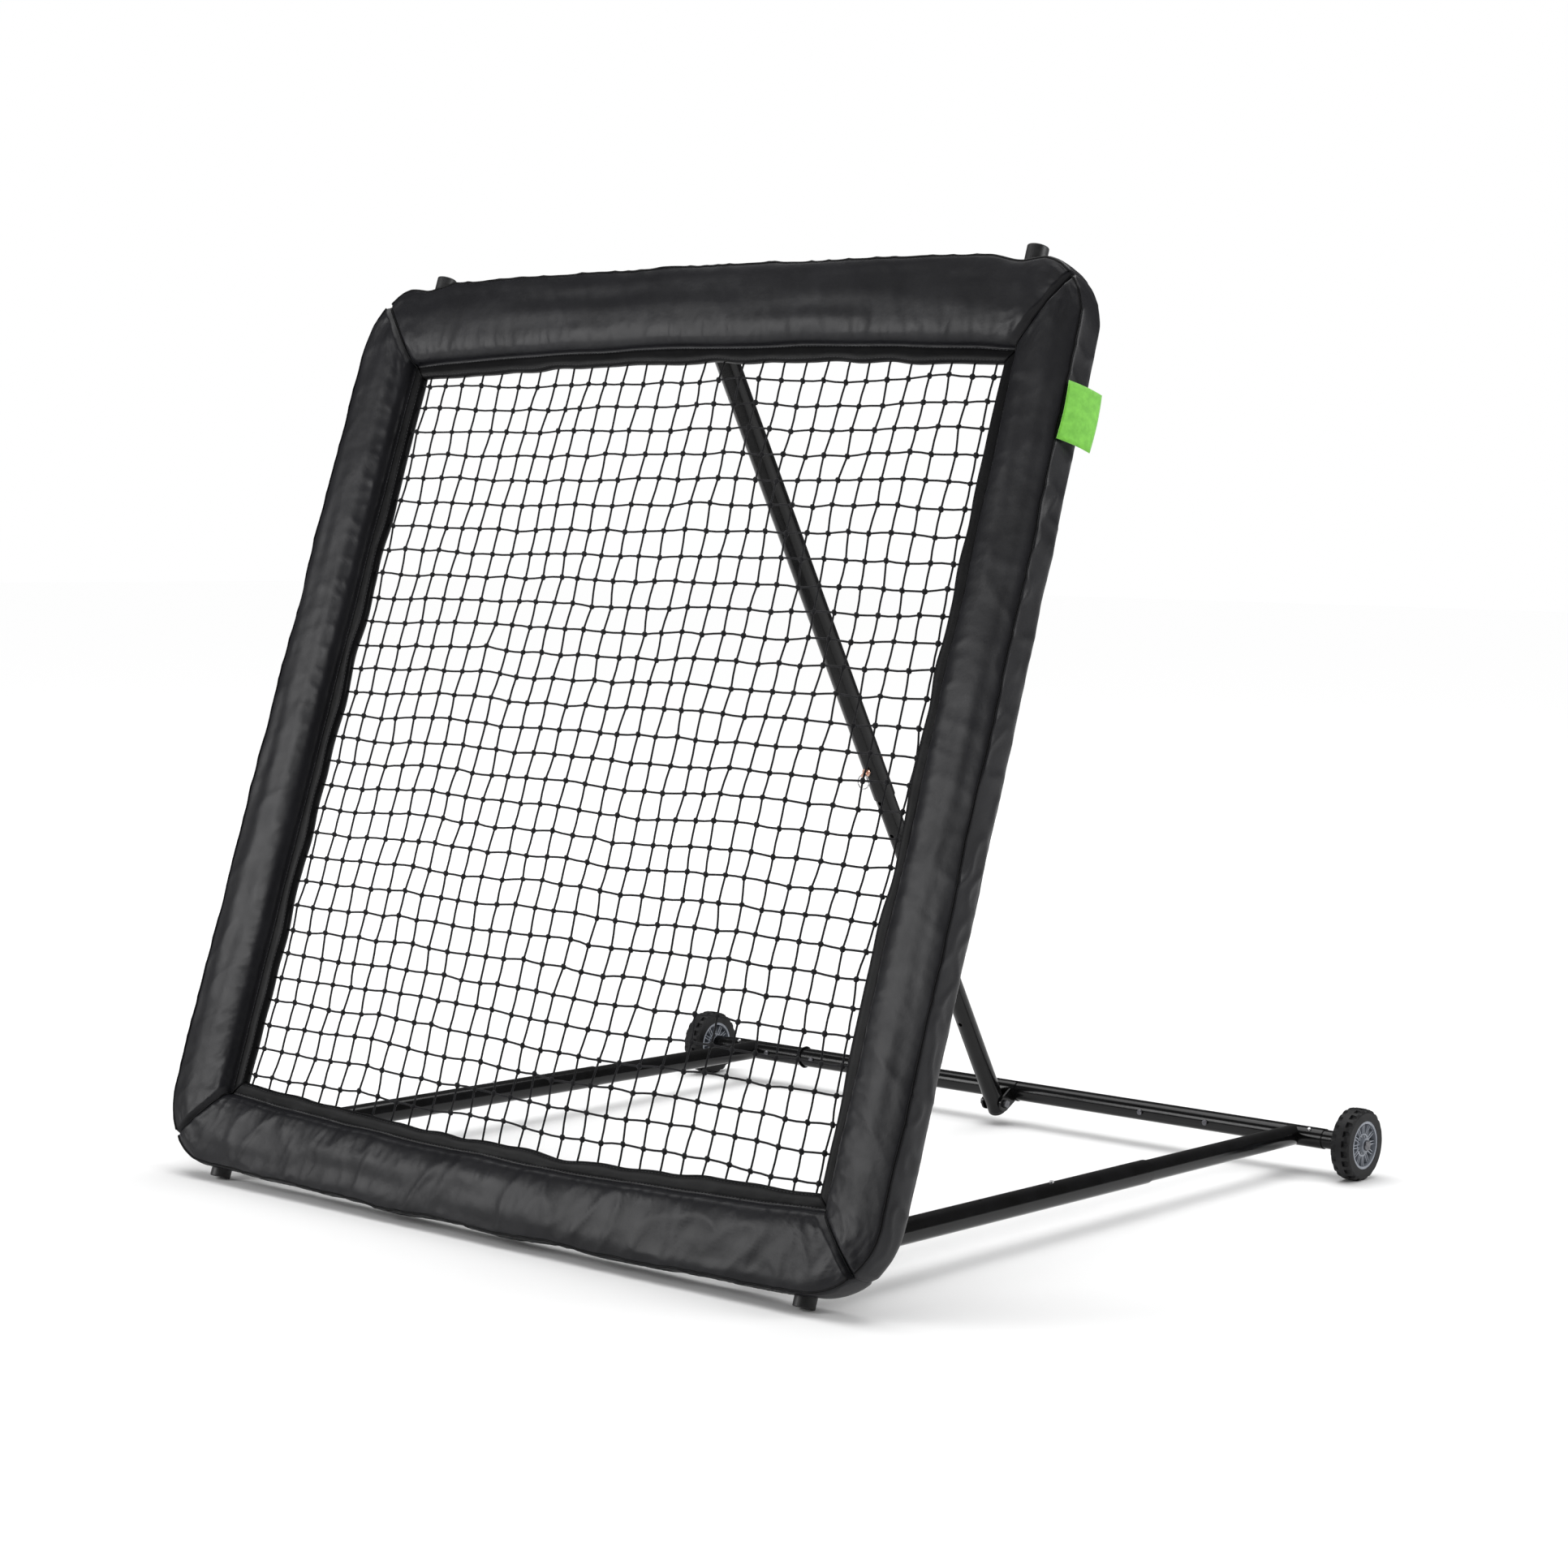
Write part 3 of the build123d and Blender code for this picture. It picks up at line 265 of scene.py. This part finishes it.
def add_tube(verts, faces, path, radius, sides=8):
    """A round tube through a list of points, closed at both ends."""
    first = len(verts)
    for i, point in enumerate(path):
        ahead = path[min(i + 1, len(path) - 1)] - path[max(i - 1, 0)]
        ahead.normalize()
        aside = ahead.cross(FRONTWARD)
        if aside.length < 0.1:
            aside = ahead.cross(UPWARD)
        aside.normalize()
        other = ahead.cross(aside)
        for k in range(sides):
            turn = 2 * pi * k / sides
            verts.append(point + aside * (cos(turn) * radius) + other * (sin(turn) * radius))
    for i in range(len(path) - 1):
        for k in range(sides):
            a = first + i * sides + k
            b = first + i * sides + (k + 1) % sides
            faces.append((a, b, b + sides, a + sides))
    faces.append(tuple(first + k for k in reversed(range(sides))))
    last = first + (len(path) - 1) * sides
    faces.append(tuple(last + k for k in range(sides)))


def smooth_loop(points, per_span):
    """A closed Catmull-Rom curve through 2-D points."""
    out = []
    count = len(points)
    for i in range(count):
        p0, p1, p2, p3 = (Vector(points[(i + j - 1) % count]) for j in range(4))
        for k in range(per_span):
            t = k / per_span
            out.append(
                0.5
                * (
                    2 * p1
                    + (p2 - p0) * t
                    + (2 * p0 - 5 * p1 + 4 * p2 - p3) * t * t
                    + (3 * p1 - p0 - 3 * p2 + p3) * t**3
                )
            )
    return out


# ---- pads --------------------------------------------------------------------------

# Across a pad, from the inner flap round the front, the outer edge and the back: the
# distance out from the opening and the height out of the frame's plane, for a side pad.
SECTION = (
    (0.0000, 0.000),
    (0.0015, 0.008),
    (0.0080, 0.011),
    (0.0180, 0.011),
    (0.0250, 0.011),
    (0.0285, 0.021),
    (0.0370, 0.0295),
    (0.0600, 0.0360),
    (0.0920, 0.0390),
    (0.1220, 0.0385),
    (0.1410, 0.0370),
    (0.1500, 0.0340),
    (0.1525, 0.026),
    (0.1530, 0.002),
    (0.1505, -0.020),
    (0.1400, -0.031),
    (0.1150, -0.035),
    (0.0700, -0.035),
    (0.0400, -0.028),
    (0.0220, -0.013),
    (0.0060, -0.009),
)
SECTION_DEPTH = 0.1515
FLAP_LINE = 0.025
SEAM_OUT = 0.1495
PER_SPAN = 5
ALONG = 300
SEAM_PULL = 0.016  # how far from a mitre seam the cloth starts to dip
# how far a bar's inner and outer edges stand off straight at its middle
BOW = {
    "pad_top": (0.020, 0.010),
    "pad_bottom": (-0.024, -0.013),
    "pad_left": (0.004, 0.002),
    "pad_right": (0.004, 0.002),
}
# wells in the back, where the brackets' pivots are
WELLS = {
    "pad_top": ((0.0, 1.605),),
    "pad_bottom": ((-LEG_SIDE, 0.0976), (LEG_SIDE, 0.0976)),
}
WELL_R = 0.060
WELL_RIM = 0.018
WELL_BACK = -0.008  # the cloth is open there, so the frame tube shows
CAP_SIDE = 0.680
CAP_DIP = 0.012
CAP_DIP_REACH = 0.07


def round_corner(side, rise):
    """Wrap the square corner round the outer corner's arc."""
    centre_side = PAD_SIDE - CORNER_R
    centre_rise = PAD_HIGH - CORNER_R if rise > 0.8 else PAD_LOW + CORNER_R
    out_side = abs(side) - centre_side
    out_rise = (rise - centre_rise) * (1 if rise > 0.8 else -1)
    if out_side <= 0 or out_rise <= 0:
        return side, rise
    reach = max(out_side, out_rise)
    scale = reach / (out_side**2 + out_rise**2) ** 0.5
    side = (centre_side + out_side * scale) * (1 if side > 0 else -1)
    rise = centre_rise + out_rise * scale * (1 if rise > 0.8 else -1)
    return side, rise


def ease(x):
    x = min(max(x, 0.0), 1.0)
    return x * x * (3 - 2 * x)


def pad_point(name, out, height, v):
    """A point of a pad: out from the opening, height from the plane, v from -1 to 1 along."""
    depth = PAD_SIDE - HALF
    if name == "pad_top":
        depth = PAD_HIGH - OPENING_HIGH
    elif name == "pad_bottom":
        depth = OPENING_LOW - PAD_LOW
    share = out / SECTION_DEPTH
    out_here = out * depth / SECTION_DEPTH if out > FLAP_LINE else out
    if out > FLAP_LINE:
        grown = (out - FLAP_LINE) / (SECTION_DEPTH - FLAP_LINE)
        out_here = FLAP_LINE + grown * (depth - FLAP_LINE)
    seed = {"pad_top": 3.1, "pad_bottom": 11.7, "pad_left": 23.9, "pad_right": 37.3}[name]
    edge_face = ease((out - 0.146) / 0.004) * (1 - abs(v) ** 8)
    pucker = 0.0022 * fold(v * 17, height * 24, seed + 20) + 0.0042 * noise.noise(Vector((v * 5, seed, 4)))
    out_here += pucker * edge_face
    # the inner flap hangs loose, so its edge wanders
    hang = 0.0035 + 0.0075 * noise.noise(Vector((v * 7.5, seed + 3, 1.0)))
    out_here -= hang * (1 - ease(out / FLAP_LINE)) * (1 - v**6)
    # the mitre runs from the opening's corner to the outer corner
    side_reach = HALF + out_here / depth * (PAD_SIDE - HALF)
    rise_high = OPENING_HIGH + out_here / depth * (PAD_HIGH - OPENING_HIGH)
    rise_low = OPENING_LOW - out_here / depth * (OPENING_LOW - PAD_LOW)
    if name in ("pad_top", "pad_bottom"):
        side = v * side_reach
        rise = OPENING_HIGH + out_here if name == "pad_top" else OPENING_LOW - out_here
        from_seam = side_reach * (1 - abs(v))
    else:
        side = (HALF + out_here) * (1 if name == "pad_right" else -1)
        rise = (rise_high + rise_low) / 2 + v * (rise_high - rise_low) / 2
        from_seam = (rise_high - rise_low) / 2 * (1 - abs(v))
    side, rise = round_corner(side, rise)
    # gathers across the bar, longer creases along it, and tucks that run off the mitre seams
    along = side if name in ("pad_top", "pad_bottom") else rise
    slant = along + 0.05 * share
    gather = fold(slant * 13, share * 1.3, seed)
    fine = fold(slant * 34, share * 2.6, seed + 5)
    crease = noise.noise(Vector((along * 3.4, share * 5.0, seed + 9)))
    near = 1 - ease(from_seam / 0.15)
    tuck = fold(along * 24 + share * 9, share * 15 - along * 6, seed + 13)
    strength = {"pad_top": 0.35, "pad_bottom": 0.95}.get(name, 0.42)
    body = ease((out - 0.5 * FLAP_LINE) / FLAP_LINE)
    swell = strength * (0.0021 * gather + 0.0009 * fine) + 0.0022 * crease + near * 0.0011 * tuck
    # short puckers where the cloth is sewn: along the flap and beside the mitres
    beside_flap = ease((out - FLAP_LINE * 0.7) / 0.008) * (1 - ease((share - 0.2) / 0.35))
    beside_mitre = ease(from_seam / 0.010) * (1 - ease((from_seam - 0.01) / 0.06))
    swell += 0.0016 * beside_flap * fold(along * 46, share * 2.0, seed + 31)
    swell += 0.0013 * beside_mitre * fold(share * 7.5, from_seam * 12, seed + 41)
    dip = 1 - ease(from_seam / SEAM_PULL)
    sign = 1 if height >= 0 else -1
    height = height * (1 - 0.2 * dip * body) + sign * swell * body * (1 - dip)
    # the long sides bow: the outer edge a little, the inner edge more
    inner_bow, outer_bow = BOW[name]
    bow = (inner_bow + (outer_bow - inner_bow) * share) * (1 - v * v)
    ripple = 0.0042 * noise.noise(Vector((along * 8, seed + share, 2.0))) * (1 - v * v)
    if name in ("pad_top", "pad_bottom"):
        rise += bow + ripple
    else:
        side += (bow + ripple) * (1 if name == "pad_right" else -1)
    if name == "pad_top":
        rise -= CAP_DIP * share * (1 - ease(abs(abs(side) - CAP_SIDE) / CAP_DIP_REACH))
    if height < WELL_BACK:
        for well_side, well_rise in WELLS.get(name, ()):
            away = hypot(side - well_side, rise - well_rise)
            height += (WELL_BACK - height) * (1 - ease((away - WELL_R) / WELL_RIM))
    point = at(side, rise, height)
    point.z = max(point.z, FLOOR_CLEAR)
    return point


def fold(x, y, seed):
    """Soft cloth folds: a ridge where the noise crosses zero."""
    ridge = 1 - 2.4 * abs(noise.noise(Vector((x, y, seed))))
    return max(ridge, 0.0) ** 2 - 0.3


def pad_steps():
    """Places along a pad, closer together by the seams."""
    return [sin(pi / 2 * (2 * j / ALONG - 1)) * 0.35 + 0.65 * (2 * j / ALONG - 1) for j in range(ALONG + 1)]


def make_pad(name):
    section = smooth_loop(SECTION, PER_SPAN)
    count = len(section)
    verts = []
    faces = []
    for v in pad_steps():
        for out, height in section:
            verts.append(pad_point(name, max(out, 0.0), height, v))
    for j in range(ALONG):
        for k in range(count):
            a = j * count + k
            b = j * count + (k + 1) % count
            faces.append((a, b, b + count, a + count))
    faces.append(tuple(range(count)))
    faces.append(tuple(ALONG * count + k for k in reversed(range(count))))
    pad = mesh_object(f"{name}_sleeve", verts, faces, cloth)
    pad.data.materials.append(binding_and_flap_shade)
    # painted shade: the inner flap's faces take the darker seam cloth, standing in for the shade along the
    # opening's inner edge
    for index, polygon in enumerate(pad.data.polygons):
        if index < ALONG * count and section[index % count][0] < FLAP_LINE * 0.8:
            polygon.material_index = 1
    bm = bmesh.new()
    bm.from_mesh(pad.data)
    bmesh.ops.recalc_face_normals(bm, faces=bm.faces)
    bm.to_mesh(pad.data)
    bm.free()
    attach(pad, "net_frame")
    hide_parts(name)
    return pad


def section_height(out):
    """The front's height at a distance out."""
    row = SECTION[:13]
    for (o0, h0), (o1, h1) in zip(row, row[1:]):
        if o0 <= out <= o1:
            return h0 + (h1 - h0) * (out - o0) / (o1 - o0)
    return row[-1][1]


def seam_path(name, out, lift, steps):
    return [pad_point(name, out, section_height(out) + lift, v) for v in steps]


STITCH = 0.0045
STITCH_GAP = 0.0025


def make_seams(name):
    """The bound seam at the front outer edge and the stitched lines beside the flap."""
    verts = []
    faces = []
    steps = [v * 0.985 for v in pad_steps()]
    add_tube(verts, faces, seam_path(name, SEAM_OUT, 0.0006, steps), 0.0019, 8)
    welt = mesh_object(f"{name}_welt", verts, faces, binding_and_flap_shade)
    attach(welt, "net_frame")
    verts = []
    faces = []
    length = 2 * HALF
    stitches = int(length / (STITCH + STITCH_GAP))
    for out in (0.0215, 0.0045):
        for i in range(stitches):
            v0 = (2 * i / stitches - 1) * 0.985
            v1 = v0 + 2 * STITCH / length
            path = seam_path(name, out, 0.0005, (v0, (v0 + v1) / 2, v1))
            add_tube(verts, faces, path, 0.00045, 4)
    row = mesh_object(f"{name}_stitching", verts, faces, thread)
    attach(row, "net_frame")


def make_mitre_seams():
    """A raised seam along each corner's mitre, from the opening to the outer edge."""
    for name in ("pad_top", "pad_bottom"):
        for hand, word in ((-1, "left"), (1, "right")):
            verts = []
            faces = []
            outs = [0.002 + 0.1455 * i / 40 for i in range(41)]
            path = [pad_point(name, out, section_height(out), hand) for out in outs]
            path = [p + FRONTWARD * 0.0006 for p in path]
            add_tube(verts, faces, path, 0.0021, 8)
            seam = mesh_object(f"{name}_mitre_{word}", verts, faces, binding_and_flap_shade)
            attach(seam, "net_frame")


# ---- net ---------------------------------------------------------------------------

MESH_CELLS = 31
MESH = 0.045
NET_MID = (OPENING_LOW + OPENING_HIGH) / 2
TWINE_R = 0.0018
KNOT_R = 0.0049
NET_SLACK = 0.0042


def net_crossings():
    """The knots' places, a little off the regular mesh."""
    rng = random.Random(7)
    rows = []
    for i in range(MESH_CELLS + 1):
        row = []
        for j in range(MESH_CELLS + 1):
            side = (j - MESH_CELLS / 2) * MESH
            rise = NET_MID + (i - MESH_CELLS / 2) * MESH
            drift = noise.noise_vector(Vector((side * 4, rise * 4, 1.5))) * NET_SLACK * 2.2
            side += drift.x + rng.uniform(-NET_SLACK, NET_SLACK) * 0.55
            rise += drift.y + rng.uniform(-NET_SLACK, NET_SLACK) * 0.55
            row.append(at(side, rise, drift.z + rng.uniform(-NET_SLACK, NET_SLACK) * 0.6))
        rows.append(row)
    return rows


def make_net():
    rng = random.Random(11)
    rows = net_crossings()
    verts = []
    faces = []
    for line in rows + [list(column) for column in zip(*rows)]:
        path = []
        for a, b in zip(line, line[1:]):
            path.append(a)
            bend = UPWARD * rng.uniform(-0.0011, 0.0011) + Vector((rng.uniform(-0.0011, 0.0011), 0, 0))
            path.append((a + b) / 2 + bend)
        path.append(line[-1])
        add_tube(verts, faces, path, TWINE_R, 6)
    net = mesh_object("knotted_net", verts, faces, twine)
    bm = bmesh.new()
    for row in rows:
        for point in row:
            squeeze = Matrix.Diagonal((1.15, 0.85, rng.uniform(0.85, 1.1), 1))
            spin = Matrix.Rotation(rng.uniform(0, pi), 4, "Y")
            place = Matrix.Translation(point) @ spin @ squeeze
            bmesh.ops.create_icosphere(bm, subdivisions=2, radius=KNOT_R, matrix=place)
    knots = bpy.data.meshes.new("net_knots")
    bm.to_mesh(knots)
    bm.free()
    knots.polygons.foreach_set("use_smooth", [True] * len(knots.polygons))
    knots.materials.append(twine)
    knot_piece = bpy.data.objects.new("net_knots", knots)
    bpy.context.scene.collection.objects.link(knot_piece)
    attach(net, "net_frame")
    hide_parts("net")
    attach(knot_piece, "net_frame")


# ---- tubes with rows of holes -------------------------------------------------------

ROUND = 96


def drilled_tube(name, start, end, outer_r, inner_r, holes):
    """A tube with real round holes: each hole is (centre, direction, radius, both walls)."""
    along = (end - start).normalized()
    bm = bmesh.new()
    aside = along.cross(Vector((1, 0, 0))).normalized()
    other = along.cross(aside)
    rings = []
    for point, radius in ((start, outer_r), (end, outer_r), (end, inner_r), (start, inner_r)):
        ring = []
        for k in range(ROUND):
            turn = 2 * pi * k / ROUND
            ring.append(bm.verts.new(point + aside * (cos(turn) * radius) + other * (sin(turn) * radius)))
        rings.append(ring)
    for i in range(4):
        a, b = rings[i], rings[(i + 1) % 4]
        for k in range(ROUND):
            bm.faces.new((a[k], a[(k + 1) % ROUND], b[(k + 1) % ROUND], b[k]))
    bmesh.ops.recalc_face_normals(bm, faces=bm.faces)
    mesh = bpy.data.meshes.new(name)
    bm.to_mesh(mesh)
    bm.free()
    tube = bpy.data.objects.new(name, mesh)
    bpy.context.scene.collection.objects.link(tube)
    cutter_mesh = bmesh.new()
    for centre, direction, radius, through in holes:
        reach = outer_r * 2
        base = centre if not through else centre - direction * reach
        span = reach if not through else 2 * reach
        turn = direction.to_track_quat("Z", "Y").to_matrix().to_4x4()
        place = Matrix.Translation(base + direction * span / 2) @ turn
        bmesh.ops.create_cone(
            cutter_mesh, cap_ends=True, segments=40, radius1=radius, radius2=radius, depth=span, matrix=place
        )
    cutter_data = bpy.data.meshes.new(f"{name}_holes")
    cutter_mesh.to_mesh(cutter_data)
    cutter_mesh.free()
    cutter = bpy.data.objects.new(f"{name}_holes", cutter_data)
    bpy.context.scene.collection.objects.link(cutter)
    cut = tube.modifiers.new("holes", "BOOLEAN")
    cut.operation = "DIFFERENCE"
    cut.solver = "EXACT"
    cut.object = cutter
    with bpy.context.temp_override(object=tube, active_object=tube):
        bpy.ops.object.modifier_apply(modifier=cut.name)
    bpy.data.objects.remove(cutter)
    tube.data.materials.clear()
    tube.data.materials.append(coat)
    tube.data.polygons.foreach_set("use_smooth", [True] * len(tube.data.polygons))
    tube.data.set_sharp_from_angle(angle=radians(35))
    return tube


def joint_place(name):
    for joint in frame["record"]["behaviour"]["joints"]:
        if joint["name"] == name:
            return joint
    raise KeyError(name)


SLEEVE_R = 0.021
SLEEVE_BORE_R = 0.0193
TUBE_R = 0.019
TUBE_BORE_R = 0.0175
HOLE_R = 0.0044
BOLT_HOLE_R = 0.00505
LEG_HOLES = 3
LEG_HOLE_PITCH = 0.202
PROP_HOLES = 9
PROP_PIN = 0.799  # the pin's hole at rest
PROP_HOLE_PITCH = 0.07406  # seven steps take the pin to the tilt's limit


def make_front_legs():
    """Each front leg: its sleeve with three button holes on top."""
    pivot = Vector(joint_place("frame_tilt")["pos_m"])
    for hand, word in ((-1, "left"), (1, "right")):
        node = f"front_leg_{word}"
        press = Vector(joint_place(f"leg_button_press_{word}")["axis"])
        up = -press
        along = Vector((1, 0, 0)).cross(up) * -1
        along = along if along.y > 0 else along * -1
        low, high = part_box(node)
        start = Vector((hand * LEG_SIDE, pivot.y, pivot.z)) - along * 0.018
        length = (high[1] - low[1]) / along.y
        button = middle(f"leg_button_{word}")
        middle_hole = start + along * (button - start).dot(along)
        holes = [
            (middle_hole + along * LEG_HOLE_PITCH * (i - 1), up, HOLE_R, False) for i in range(LEG_HOLES)
        ]
        bolt = Vector((hand * LEG_SIDE, pivot.y, pivot.z))
        holes.append((bolt, Vector((1, 0, 0)), BOLT_HOLE_R, True))
        end = start + along * length
        tube = drilled_tube(f"leg_sleeve_{word}", start, end, SLEEVE_R, SLEEVE_BORE_R, holes)
        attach(tube, "base")
        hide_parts(node)


PROP_START = -0.012
PROP_END = 0.850


def make_prop_tube():
    """The prop's lower tube with its row of pin holes front and back."""
    foot = Vector(joint_place("prop_swing")["pos_m"])
    along = Vector(joint_place("prop_slide")["axis"]).normalized()
    ahead = Vector(joint_place("lock_pin_pull")["axis"]).normalized()
    holes = []
    for i in range(PROP_HOLES):
        centre = foot + along * (PROP_PIN - i * PROP_HOLE_PITCH)
        holes.append((centre, ahead, HOLE_R, True))
    holes.append((foot, Vector((1, 0, 0)), BOLT_HOLE_R, True))
    tube = drilled_tube(
        "prop_lower_drilled", foot + along * PROP_START, foot + along * PROP_END, TUBE_R, TUBE_BORE_R, holes
    )
    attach(tube, "prop_lower")
    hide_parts("prop_lower_tube")


# ---- tag ---------------------------------------------------------------------------

TAG_LOW = 1.377
TAG_HIGH = 1.472
TAG_THICK = 0.0011
TAG_ARC = 18


def make_tag():
    """A folded cloth tag that stands out of the right pad's outer seam."""
    path = []
    for i in range(TAG_ARC + 1):
        share = i / TAG_ARC
        front = 0.036 - 0.068 * share
        side = PAD_SIDE + 0.0035 + 0.017 * share + 0.004 * sin(pi * share)
        path.append((side, front))
    verts = []
    faces = []
    rows = 12
    for layer in (0.0, TAG_THICK):
        for i in range(rows + 1):
            rise = TAG_LOW + (TAG_HIGH - TAG_LOW) * i / rows
            curl = 0.0025 * sin(pi * i / rows)
            for side, front in path:
                verts.append(at(side + layer + curl, rise, front))
    width = TAG_ARC + 1
    layer_size = width * (rows + 1)
    for i in range(rows):
        for k in range(TAG_ARC):
            a = i * width + k
            faces.append((a, a + width, a + width + 1, a + 1))
            b = a + layer_size
            faces.append((b, b + 1, b + width + 1, b + width))
    ring = [k for k in range(width)]
    ring += [i * width + TAG_ARC for i in range(1, rows + 1)]
    ring += [rows * width + k for k in reversed(range(TAG_ARC))]
    ring += [i * width for i in reversed(range(1, rows))]
    for a, b in zip(ring, ring[1:] + ring[:1]):
        faces.append((a, b, b + layer_size, a + layer_size))
    tag = mesh_object("seam_tag", verts, faces, tag_cloth)
    bm = bmesh.new()
    bm.from_mesh(tag.data)
    bmesh.ops.recalc_face_normals(bm, faces=bm.faces)
    bm.to_mesh(tag.data)
    bm.free()
    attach(tag, "net_frame")
    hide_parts("side_tag")


# ---- studio ------------------------------------------------------------------------


SKY = 1.0
SKY_LIGHT = 0.4
SKY_GLOSS = 0.1
FLOOR_TONE = 0.84


def make_floor():
    """A wide pale floor."""
    size = 40.0
    verts = [(-size, -size, 0), (size, -size, 0), (size, size, 0), (-size, size, 0)]
    mat, tree, shader = new_material("floor", (FLOOR_TONE, FLOOR_TONE, FLOOR_TONE), 0.9)
    shader.inputs["Specular IOR Level"].default_value = 0.1
    # far off, the floor glows as much as it loses, so that it meets the backdrop unseen
    reach = tree.nodes.new("ShaderNodeVectorMath")
    reach.operation = "LENGTH"
    tree.links.new(object_coords(tree), reach.inputs[0])
    fade = tree.nodes.new("ShaderNodeMapRange")
    fade.interpolation_type = "SMOOTHSTEP"
    fade.inputs["From Min"].default_value = 1.6
    fade.inputs["From Max"].default_value = 7.0
    fade.inputs["To Max"].default_value = SKY - SKY_LIGHT * FLOOR_TONE
    tree.links.new(reach.outputs["Value"], fade.inputs["Value"])
    shader.inputs["Emission Color"].default_value = (1, 1, 1, 1)
    tree.links.new(fade.outputs["Result"], shader.inputs["Emission Strength"])
    floor = mesh_object("floor", verts, [(0, 1, 2, 3)], mat, smooth=False)


def add_area_light(name, place, target, size, power):
    data = bpy.data.lights.new(name, "AREA")
    data.shape = "SQUARE"
    data.size = size
    data.energy = power
    light = bpy.data.objects.new(name, data)
    light.location = place
    light.rotation_euler = (Vector(target) - Vector(place)).to_track_quat("-Z", "Y").to_euler()
    bpy.context.scene.collection.objects.link(light)


def make_studio():
    make_floor()
    world = bpy.data.worlds.new("studio")
    world.use_nodes = True
    tree = world.node_tree
    background = tree.nodes["Background"]
    background.inputs["Color"].default_value = (1, 1, 1, 1)
    # the backdrop is white to look at, gives less light than it shows and mirrors least
    rays = tree.nodes.new("ShaderNodeLightPath")
    given = tree.nodes.new("ShaderNodeMapRange")
    given.inputs["To Min"].default_value = SKY_LIGHT
    given.inputs["To Max"].default_value = SKY_GLOSS
    tree.links.new(rays.outputs["Is Glossy Ray"], given.inputs["Value"])
    strength = tree.nodes.new("ShaderNodeMapRange")
    strength.inputs["To Max"].default_value = SKY
    tree.links.new(given.outputs["Result"], strength.inputs["To Min"])
    tree.links.new(rays.outputs["Is Camera Ray"], strength.inputs["Value"])
    tree.links.new(strength.outputs["Result"], background.inputs["Strength"])
    bpy.context.scene.world = world
    aim = (0, 0, 0.8)
    add_area_light("overhead", (-0.6, 0.6, 5.4), (0, 0, 0), 6.0, 330)
    add_area_light("front_left", (-3.6, -4.6, 2.4), aim, 2.4, 150)
    add_area_light("right_back", (4.6, 1.6, 2.6), aim, 1.8, 100)
    bpy.context.scene.view_settings.view_transform = "Standard"


LENS = 72.4
SENSOR = 36.0
CAMERA_PLACE = Vector((3.6685, -4.3188, 1.1819))
CAMERA_TURN = radians(40.339)
CAMERA_DOWN = radians(4.742)
CAMERA_ROLL = radians(0.859)


def make_camera():
    level = Vector((-sin(CAMERA_TURN), cos(CAMERA_TURN), 0))
    look = level * cos(CAMERA_DOWN) - Vector((0, 0, sin(CAMERA_DOWN)))
    right = Vector((cos(CAMERA_TURN), sin(CAMERA_TURN), 0))
    up = right.cross(look)
    rolled_right = right * cos(CAMERA_ROLL) + up * sin(CAMERA_ROLL)
    rolled_up = up * cos(CAMERA_ROLL) - right * sin(CAMERA_ROLL)
    data = bpy.data.cameras.new("camera")
    data.lens = LENS
    data.sensor_width = SENSOR
    data.clip_end = 200.0
    camera = bpy.data.objects.new("camera", data)
    turn = Matrix((rolled_right, rolled_up, -look)).transposed().to_4x4()
    camera.matrix_world = Matrix.Translation(CAMERA_PLACE) @ turn
    bpy.context.scene.collection.objects.link(camera)
    bpy.context.scene.camera = camera


# ---- build it ----------------------------------------------------------------------

dress_cad_nodes()
for pad_name in ("pad_top", "pad_bottom", "pad_left", "pad_right"):
    make_pad(pad_name)
    make_seams(pad_name)
make_mitre_seams()
make_net()
make_front_legs()
make_prop_tube()
make_tag()
make_studio()
make_camera()
